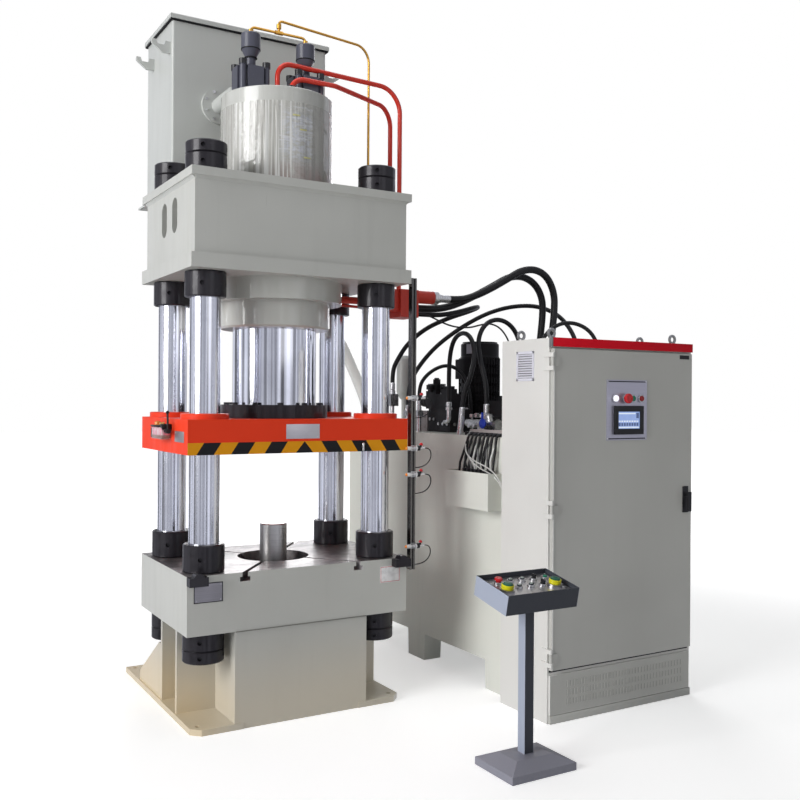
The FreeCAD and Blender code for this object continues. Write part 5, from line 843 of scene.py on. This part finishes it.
# Valve stack: cap screws, coil nuts, plugs with cable glands and port plugs
valveStack = {"screwX": (1.264, 1.336), "screwY": (0.212, 0.290, 0.372), "screwZ": 1.6395,
              "baseScrews": ((1.262, 0.176), (1.380, 0.176), (1.262, 0.330), (1.380, 0.330), (1.390, 0.20),
                             (1.390, 0.36)), "baseZ": 1.5445,
              "leftPlugs": ((0.185, 1.452), (0.235, 1.452), (0.285, 1.452), (0.340, 1.480), (0.385, 1.480)),
              "left": 1.2405, "frontPlugs": (1.275, 1.320, 1.365), "front": (0.1585, 1.450),
              "connectors": (((1.236, 0.376, 1.668), (1.263, 0.430, 1.700)),
                             ((1.284, 0.328, 1.672), (1.316, 0.357, 1.702)),
                             ((1.268, 0.222, 1.6715), (1.320, 0.282, 1.690))),
              "leftGland": (1.249, 0.392, 1.669), "frontGland": (1.294, 0.2225, 1.682),
              "topCap": (1.300, 0.4035, 1.7345),
              "coilY": (0.470, 0.500, 0.530), "coil": (1.300, 1.592), "coilEnd": 0.5590,
              "ports": ((0.455, 1.500), (0.535, 1.500), (0.455, 1.435), (0.535, 1.435))}
screws = Piece("ValveScrews", zinc, "bare_steel")
for x in valveStack["screwX"]:
    for y in valveStack["screwY"]:
        screws.rod((x, y, valveStack["screwZ"]), up, 0.0065, 0.008)
for x, y in valveStack["baseScrews"]:
    screws.rod((x, y, valveStack["baseZ"]), up, 0.0075, 0.009)
for y, z in valveStack["leftPlugs"]:
    screws.rod((valveStack["left"], y, z), left, 0.011, 0.006, 0.001, 6)
for x in valveStack["frontPlugs"]:
    screws.rod((x, *valveStack["front"]), front, 0.011, 0.006, 0.001, 6)
screws.done()
coilX, coilZ = valveStack["coil"]
plugs = Piece("ValvePlugs", blackPlastic, "black_plastic")
for low, high in valveStack["connectors"]:
    plugs.box(low, high, 0.003)
plugs.rod(valveStack["leftGland"], (0, 0, -1), 0.009, 0.016, 0.001, 6)
plugs.rod(valveStack["frontGland"], front, 0.009, 0.014, 0.001, 6)
plugs.rod(valveStack["topCap"], up, 0.016, 0.010, 0.002)
plugs.rod((coilX, valveStack["coilEnd"], coilZ), (0, 1, 0), 0.022, 0.012, 0.002)
for y in valveStack["coilY"]:
    plugs.ring((coilX, y, coilZ), (0, 1, 0), 0.0365, 0.032, 0.012, 0.001)
plugs.done()
blockPorts = Piece("BlockPorts", darkSteel, "black_steel")
for y, z in valveStack["ports"]:
    blockPorts.rod((valveStack["left"], y, z), left, 0.014, 0.005, 0.001, 6)
blockPorts.done()

# The row of small valves by the blue handle: bodies, a knurled drain and a tag
smallValves = {"heads": ((-0.075, 0.020), (-0.125, 0.026), (-0.175, 0.020)), "headX": 1.244, "headZ": 1.499,
               "knurl": (1.2135, -0.300, 1.480), "knurlRadius": 0.021, "notch": 0.0015, "knurlStep": 0.004,
               "face": 1.2137, "faceZ": 1.452, "nutY": -0.110, "stubY": -0.165,
               "drain": (1.2137, -0.312, 1.440),
               "drainEnd": (1.185, -0.312, 1.440),
               "drainPad": ((1.219, -0.325, 1.4990), (1.262, -0.285, 1.5100)),
               "tag": ((1.2125, -0.252, 1.405), (1.2140, -0.226, 1.428))}
valveRow = Piece("SmallValves", zinc, "bare_steel")
for y, height in smallValves["heads"]:
    valveRow.rod((smallValves["headX"], y, smallValves["headZ"]), up, 0.015, height, 0.002, 6)
knurl = [(smallValves["knurlRadius"] - smallValves["notch"] * (step % 2), smallValves["knurlStep"] * step)
         for step in range(11)]
knurl = [(0, 0)] + knurl + [(0, smallValves["knurlStep"] * 10)]
valveRow.lathe(knurl, smallValves["knurl"], (-0.2, 0, 1), 28)
valveRow.rod((smallValves["face"], smallValves["nutY"], smallValves["faceZ"]), left, 0.016, 0.020, 0.002, 6)
valveRow.rod((smallValves["face"], smallValves["stubY"], smallValves["faceZ"]), left, 0.012, 0.026, 0.002)
valveRow.done()
drain = Piece("DrainValves", darkSteel, "black_steel")
drain.rod(smallValves["drain"], left, 0.019, 0.030, 0.003)
drain.rod(smallValves["drainEnd"], left, 0.012, 0.014, 0.002, 6)
drain.box(*smallValves["drainPad"], 0.002).done()
Piece("WheelTag", yellowPlastic, "gold_metal").box(*smallValves["tag"], 0.0004).done()

# Dark sleeves hold the control cables where they come off the tank and where they reach the trough
sleeve = {"count": 8, "half": 0.0105, "tops": (-0.233, -0.046, (1.090, 1.4000), (1.112, 1.4200)),
          "mouths": (-0.305, -0.0375, (1.0265, 1.1960), (1.0475, 1.2180))}
sleeving = Piece("CableSleeves", blackPlastic, "black_rubber")
for end in ("tops", "mouths"):
    first, pitch, low, high = sleeve[end]
    for step in range(sleeve["count"]):
        y = first + pitch * step
        sleeving.box((low[0], y - sleeve["half"], low[1]), (high[0], y + sleeve["half"], high[1]), 0.002)
sleeving.done()
print("station dressed")

# Cabinet: header strip and its end, the lip along the door's hinge side in the body's paler paint as a
# painted highlight on the door's lit edge
cabinet = {"side": 1.010, "vent": -1.085, "header": ((1.0135, -1.0978, 1.8700), (1.9935, -1.0949, 1.9150)),
           "headerEnd": ((1.0075, -1.0985, 1.8670), (1.0140, -1.0735, 1.9155)),
           "lip": ((1.0195, -1.0985, 0.2675), (1.0275, -1.0949, 1.8590))}
Piece("HeaderStrip", headerRed, "red_paint").box(*cabinet["header"]).done()
Piece("HeaderEnd", greyPaint, "slate_paint").box(*cabinet["headerEnd"], 0.001).done()
# Painted highlight: the lip's paler paint stands for the door's bright left edge
Piece("DoorLipHighlight", cabinetPaint, "cabinet_paint", "cabinet_door").box(*cabinet["lip"], 0.0014).done()

# Side louver: a frame of four strips, tilted slats over a dark sheet of painted shade, and six rivets
louver = {"y": (-0.955, -0.813), "z": (1.701, 1.853), "slats": 10, "stand": 0.004, "tilt": 28, "rim": 0.014,
          "edge": 0.013, "inset": 0.010, "slatFront": 0.0045, "slatBack": 0.0020, "slatHalf": 0.36,
          "rivet": 0.007, "gapFront": 0.0009}
side = cabinet["side"]
(y0, y1), (z0, z1) = louver["y"], louver["z"]
grille = Piece("SideLouver", louverPaint, "cabinet_paint")
for low, high in (((y0, z0), (y1, z0 + louver["rim"])), ((y0, z1 - louver["rim"]), (y1, z1)),
                  ((y0, z0), (y0 + louver["edge"], z1)), ((y1 - louver["edge"], z0), (y1, z1))):
    grille.box((side - louver["stand"], *low), (side + 0.0004, *high), 0.001)
slatPitch = (z1 - z0 - 2 * louver["rim"]) / louver["slats"]
slatHalf = slatPitch * louver["slatHalf"]
slatTurn = Matrix.Rotation(math.radians(-louver["tilt"]), 4, "Y")
for step in range(louver["slats"]):
    z = z0 + louver["rim"] + slatPitch * (step + 0.5)
    grille.box((side - louver["slatFront"], y0 + louver["inset"], z - slatHalf),
               (side - louver["slatBack"], y1 - louver["inset"], z + slatHalf), 0.0005, slatTurn)
for y in (y0 + louver["rivet"], y1 - louver["rivet"]):
    for z in (z0 + louver["rivet"], (z0 + z1) / 2, z1 - louver["rivet"]):
        grille.dome((side - louver["stand"], y, z), left, 0.003, 0.0016, 12)
grille.done()
# Painted shade: a dark sheet behind the slats
shadow = Piece("LouverShade", greyPaint, "slate_paint")
shadow.box((side - louver["gapFront"], y0 + louver["inset"], z0 + louver["inset"]),
           (side + 0.0003, y1 - louver["inset"], z1 - louver["inset"]), 0.0003).done()

# Vent panel under the door: three rows of narrow slots, each a dark strip of painted shade beside a raised
# lip
vent = {"x": (1.129, 1.929), "slots": 37, "rows": (0.098, 0.143, 0.188), "half": 0.016, "lip": 0.00416,
        "lipStand": 0.0030, "gap": 0.0030, "gapShare": 0.92, "gapStand": 0.0006,
        "face": ((1.0200, -1.0853, 0.0460), (1.9890, -1.0846, 0.2385)),
        "foot": ((1.0190, -1.0875, 0.0000), (1.9990, -1.0725, 0.0400))}
lips = Piece("VentLips", doorPaint, "door_paint")
slotShade = Piece("VentSlotShade", ventShade, "door_paint")
ventFace, gapHalf = cabinet["vent"], vent["half"] * vent["gapShare"]
for z in vent["rows"]:
    for step in range(vent["slots"]):
        x = vent["x"][0] + (vent["x"][1] - vent["x"][0]) * step / (vent["slots"] - 1)
        lips.box((x, ventFace - vent["lipStand"], z - vent["half"]),
                 (x + vent["lip"], ventFace + 0.0005, z + vent["half"]), segments=1)
        slotShade.box((x - vent["gap"], ventFace - vent["gapStand"], z - gapHalf),
                 (x + 0.0004, ventFace + 0.0003, z + gapHalf), 0.0002, segments=1)
lips.done()
slotShade.done()
ventPanel = Piece("VentPanel", doorPaint, "door_paint")
ventPanel.box(*vent["face"], 0.0003, segments=1)
ventPanel.box(*vent["foot"], 0.001).done()

# Door: a dark strip of painted shade in the gap under it, its badge plate and the plate behind its handle
door = {"gap": ((1.0200, -1.0744, 0.2535), (1.9890, -1.0728, 0.2655)),
        "badge": ((1.895, -1.0972, 1.8310), (1.966, -1.0949, 1.8520)),
        "handlePlate": ((1.9205, -1.1018, 1.0010), (1.9615, -1.0949, 1.1430))}
Piece("DoorGapShade", boreBlack, "black_rubber").box(*door["gap"], 0.0004).done()
doorTrim = Piece("DoorTrim", blackPlastic, "black_plastic", "cabinet_door")
doorTrim.box(*door["badge"], 0.0012)
doorTrim.box(*door["handlePlate"], 0.002).done()

# Door panel: two dark strips, the screen's frame, screws, rings round lamp and buttons, and the lit screen
control = {"strips": (1.4055, 1.7005), "stripX": (1.380, 1.636), "stripHeight": 0.0055,
           "stripY": (-1.1014, -1.0998), "frame": ((1.4135, 1.4295), (1.6155, 1.5775)),
           "frameY": (-1.1122, -1.1000), "screen": ((1.4385, 1.4595), (1.5905, 1.5475)),
           "screenY": (-1.1070, -1.1055), "tileY": (-1.1075, -1.1068), "lap": 0.001, "screwX": (1.373, 1.643),
           "screwZ": (1.408, 1.704), "ringX": (1.423, 1.496, 1.546, 1.605), "ringZ": 1.616,
           "lamp": (1.423, -1.1045, 1.616), "tiles": 8, "tile": 0.013}
(fx0, fz0), (fx1, fz1) = control["frame"]
(sx0, sz0), (sx1, sz1) = control["screen"]
lap = control["lap"]
strips = Piece("PanelStrips", blackPlastic, "black_plastic", "cabinet_door")
for z in control["strips"]:
    strips.box((control["stripX"][0], control["stripY"][0], z),
               (control["stripX"][1], control["stripY"][1], z + control["stripHeight"]), 0.0004)
for low, high in (((fx0, fz0), (fx1, sz0)), ((fx0, sz1), (fx1, fz1)), ((fx0, sz0 - lap), (sx0, sz1 + lap)),
                  ((sx1, sz0 - lap), (fx1, sz1 + lap))):
    strips.box((low[0], control["frameY"][0], low[1]), (high[0], control["frameY"][1], high[1]), 0.0009)
strips.done()
panelScrews = Piece("PanelScrews", zinc, "bare_steel", "cabinet_door")
for x in control["screwX"]:
    for z in control["screwZ"]:
        panelScrews.dome((x, -1.1001, z), front, 0.0042, 0.0022, 16)
for x in control["ringX"]:
    panelScrews.ring((x, -1.0995, control["ringZ"]), front, 0.0205, 0.0160, 0.0080, 0.001)
panelScrews.done()
doorLamp = Piece("DoorLamp", lampWhite, "clear_plastic", "cabinet_door")
doorLamp.rod(control["lamp"], front, 0.0156, 0.0116, 0.003).done()


def screenBox(piece, low, high, depth=control["tileY"]):
    piece.box((low[0], depth[0], low[1]), (high[0], depth[1], high[1]), 0.0002)


screen = Piece("Screen", screenBlue, "blue_plastic", "cabinet_door")
screenBox(screen, (sx0 - lap / 2, sz0 - lap / 2), (sx1 + lap / 2, sz1 + lap / 2), control["screenY"])
screen.done()
tiles = Piece("ScreenTiles", screenPale, "blue_plastic", "cabinet_door")
darkTiles = Piece("ScreenBlocks", screenDark, "blue_plastic", "cabinet_door")
screenBox(tiles, (sx0 + 0.004, sz1 - 0.013), (sx1 - 0.030, sz1 - 0.006))
screenBox(tiles, (sx0 + 0.004, sz0 + 0.003), (sx1 - 0.004, sz0 + 0.010))
screenBox(darkTiles, (sx1 - 0.024, sz1 - 0.034), (sx1 - 0.006, sz1 - 0.006))
for step in range(control["tiles"]):
    x = sx0 + 0.005 + (sx1 - sx0 - 0.010) * step / control["tiles"]
    screenBox(darkTiles, (x, sz0 + 0.014), (x + control["tile"], sz0 + 0.030))
    screenBox(tiles, (x, sz0 + 0.034), (x + control["tile"], sz0 + 0.042))
tiles.done()
darkTiles.done()
print("cabinet dressed")

# Pedestal desk, in its own tilted frame: x across the desk, y up its slope, z out of it
deskFrame = Matrix.Translation(deskPlace) @ Matrix.Rotation(deskTilt, 4, "X")
desk = {"floor": -0.020, "lamps": ((-0.052, 0.058), (0.013, 0.058), (-0.052, -0.008), (0.013, -0.008)),
        "buttons": ((-0.117, 0.058), (0.078, 0.058), (0.143, 0.058), (0.078, -0.008)),
        "palms": ((-0.130, -0.026), (0.130, -0.026)), "screws": (0.178, 0.103),
        "tag": ((0.150, -0.060), (0.178, -0.040)), "guardRise": 0.0115, "palmRise": 0.0125,
        "lens": [(0, 0), (0.0104, 0), (0.0104, 0.012), (0.0075, 0.017), (0, 0.018)],
        "palm": [(0, 0), (0.0175, 0), (0.0175, 0.006), (0.0228, 0.009), (0.0228, 0.020), (0.0200, 0.0235),
                 (0.0120, 0.0255), (0, 0.0262)]}
collars = Piece("DeskCollars", zinc, "bare_steel", base=deskFrame)
lenses = Piece("DeskLamps", lensGrey, "clear_plastic", base=deskFrame)
for x, y in desk["buttons"]:
    collars.ring((x, y, desk["floor"]), up, 0.0175, 0.0128, 0.0085, 0.001)
for x, y in desk["lamps"]:
    collars.ring((x, y, desk["floor"]), up, 0.0165, 0.0105, 0.0100, 0.001)
    lenses.lathe(desk["lens"], (x, y, desk["floor"]))
screwX, screwY = desk["screws"]
for x in (-screwX, screwX):
    for y in (-screwY, screwY):
        collars.dome((x, y, desk["floor"] + 0.0010), up, 0.0035, 0.002, 12)
tagLow, tagHigh = desk["tag"]
collars.box((*tagLow, desk["floor"] + 0.001), (*tagHigh, desk["floor"] + 0.0024), 0.0004)
collars.done()
lenses.done()
guards = Piece("PalmGuards", yellowPlastic, "gold_metal", base=deskFrame)
for side, (x, y) in zip(("left", "right"), desk["palms"]):
    guards.ring((x, y, desk["floor"] + desk["guardRise"]), up, 0.0275, 0.0235, 0.0200, 0.002, 48)
    palm = Piece("Palm" + side.capitalize(), palmGreen, "green_plastic", "palm_button_" + side, deskFrame)
    palm.lathe(desk["palm"], (x, y, desk["floor"] + desk["palmRise"])).done("palm_button_" + side)
guards.done()
print("pedestal dressed")


# Mirror-like metal meets soft upright bands all round, as the windows and walls of a workshop give it
mirror = {"bands": 2.7, "low": 0.36, "high": 0.63, "dark": 0.06, "bright": 1.1, "tint": (0.88, 0.90, 1.0)}


def bandLevel(tree, x, y):
    angle = y.math("ARCTAN2", x)
    bands = addNode(tree, "ShaderNodeTexNoise", {"noise_dimensions": "1D"},
                    {"W": angle, "Scale": mirror["bands"], "Detail": 3.0})
    return bands.span(mirror["low"], mirror["high"], mirror["dark"], mirror["bright"])


floorLook = {"color": (0.9, 0.9, 0.9), "glow": 0.42, "glowFrom": 3.2, "glowTo": 7.5, "half": 40}
floorFinish = Finish("PaleFloor", floorLook["color"], 0.9, gloss=0.1)
floorTree = floorFinish.tree
floorRays = floorTree.nodes.new("ShaderNodeLightPath")
direct = Value(floorTree, floorRays.outputs["Is Camera Ray"])
direct = direct + Value(floorTree, floorRays.outputs["Is Transmission Ray"])
away = (floorFinish.x * floorFinish.x + floorFinish.y * floorFinish.y).math("SQRT")
glow = direct * away.span(floorLook["glowFrom"], floorLook["glowTo"], floorLook["glow"], 1.0)
grey = addNode(floorTree, "ShaderNodeCombineColor", None, {0: glow, 1: glow, 2: glow})
floorFinish.set("Emission Color", grey)
floorFinish.shader.inputs["Emission Strength"].default_value = 1.0
# Mirror-like metal looks past the floor, so that its lower half meets the same bands
clearFloor = addNode(floorTree, "ShaderNodeBsdfTransparent", None, {"Color": (1, 1, 1)})
glossy = Value(floorTree, floorRays.outputs["Is Glossy Ray"])
solidFloor = Value(floorTree, floorFinish.shader.outputs[0])
passed = addNode(floorTree, "ShaderNodeMixShader", None, {0: glossy, 1: solidFloor, 2: clearFloor})
floorTree.links.new(passed.socket, floorTree.nodes["Material Output"].inputs["Surface"])
ground = bmesh.new()
bmesh.ops.create_grid(ground, x_segments=1, y_segments=1, size=floorLook["half"])
groundMesh = bpy.data.meshes.new("Floor")
ground.to_mesh(groundMesh)
ground.free()
groundMesh.materials.append(floorFinish.material)
floor = bpy.data.objects.new("Floor", groundMesh)
bpy.context.scene.collection.objects.link(floor)

# The world is plain white to the eye, bands to a mirror and a soft dim light to all else
studio = {"light": (0.96, 0.98, 1.0), "strength": 0.15}
world = bpy.data.worlds.new("Studio")
bpy.context.scene.world = world
world.use_nodes = True
sky = world.node_tree
sky.nodes.clear()
skyRays = sky.nodes.new("ShaderNodeLightPath")
seen = Value(sky, skyRays.outputs["Is Camera Ray"]) + Value(sky, skyRays.outputs["Is Transmission Ray"])
toward = sky.nodes.new("ShaderNodeSeparateXYZ")
connect(sky, addNode(sky, "ShaderNodeTexCoord"), toward.inputs[0])
bands = bandLevel(sky, Value(sky, toward.outputs[0]), Value(sky, toward.outputs[1]))
dim = addNode(sky, "ShaderNodeBackground", None, {"Color": studio["light"], "Strength": studio["strength"]})
white = addNode(sky, "ShaderNodeBackground", None, {"Color": (1, 1, 1), "Strength": 1.0})
banded = addNode(sky, "ShaderNodeBackground", None, {"Color": mirror["tint"], "Strength": bands})
mirrored = Value(sky, skyRays.outputs["Is Glossy Ray"])
reflected = addNode(sky, "ShaderNodeMixShader", None, {0: mirrored, 1: dim, 2: banded})
background = addNode(sky, "ShaderNodeMixShader", None, {0: seen, 1: reflected, 2: white})
sky.links.new(background.socket, sky.nodes.new("ShaderNodeOutputWorld").inputs["Surface"])


def softLamp(name, place, target, size, power):
    lamp = bpy.data.lights.new(name, "AREA")
    lamp.shape = "RECTANGLE"
    lamp.size, lamp.size_y = size
    lamp.energy = power
    piece = bpy.data.objects.new(name, lamp)
    bpy.context.scene.collection.objects.link(piece)
    piece.location = place
    piece.rotation_euler = (Vector(target) - Vector(place)).to_track_quat("-Z", "Y").to_euler()


softLamp("KeyLamp", (-11.0, -2.6, 4.9), (0.4, 0.0, 1.6), (6.0, 6.5), 1120)
softLamp("FrontLamp", (1.5, -8.0, 4.0), (0.6, 0, 1.4), (6.0, 4.0), 38)
softLamp("TopLamp", (0.6, 0.0, 8.0), (0.6, 0, 0), (5.0, 5.0), 120)
softLamp("BackLamp", (5.5, 9.0, 5.0), (0.8, 0.4, 1.4), (6.0, 5.0), 420)

# The photograph's view, measured from the object's own corners
view = {"place": (-1.9688, -4.6747, 1.6), "turn": -30.52, "roll": 0.392, "focal": 933.1 / 800, "sensor": 36}
lens = bpy.data.cameras.new("Camera")
lens.lens = view["focal"] * view["sensor"]
lens.sensor_width = view["sensor"]
lens.clip_end = 200
camera = bpy.data.objects.new("Camera", lens)
bpy.context.scene.collection.objects.link(camera)
aim = Matrix.Rotation(math.radians(view["turn"]), 4, "Z") @ Matrix.Rotation(math.radians(90), 4, "X")
roll = Matrix.Rotation(math.radians(view["roll"]), 4, "Z")
camera.matrix_world = Matrix.Translation(view["place"]) @ aim @ roll
bpy.context.scene.camera = camera
bpy.context.scene.view_settings.view_transform = "Standard"
print("stage set")
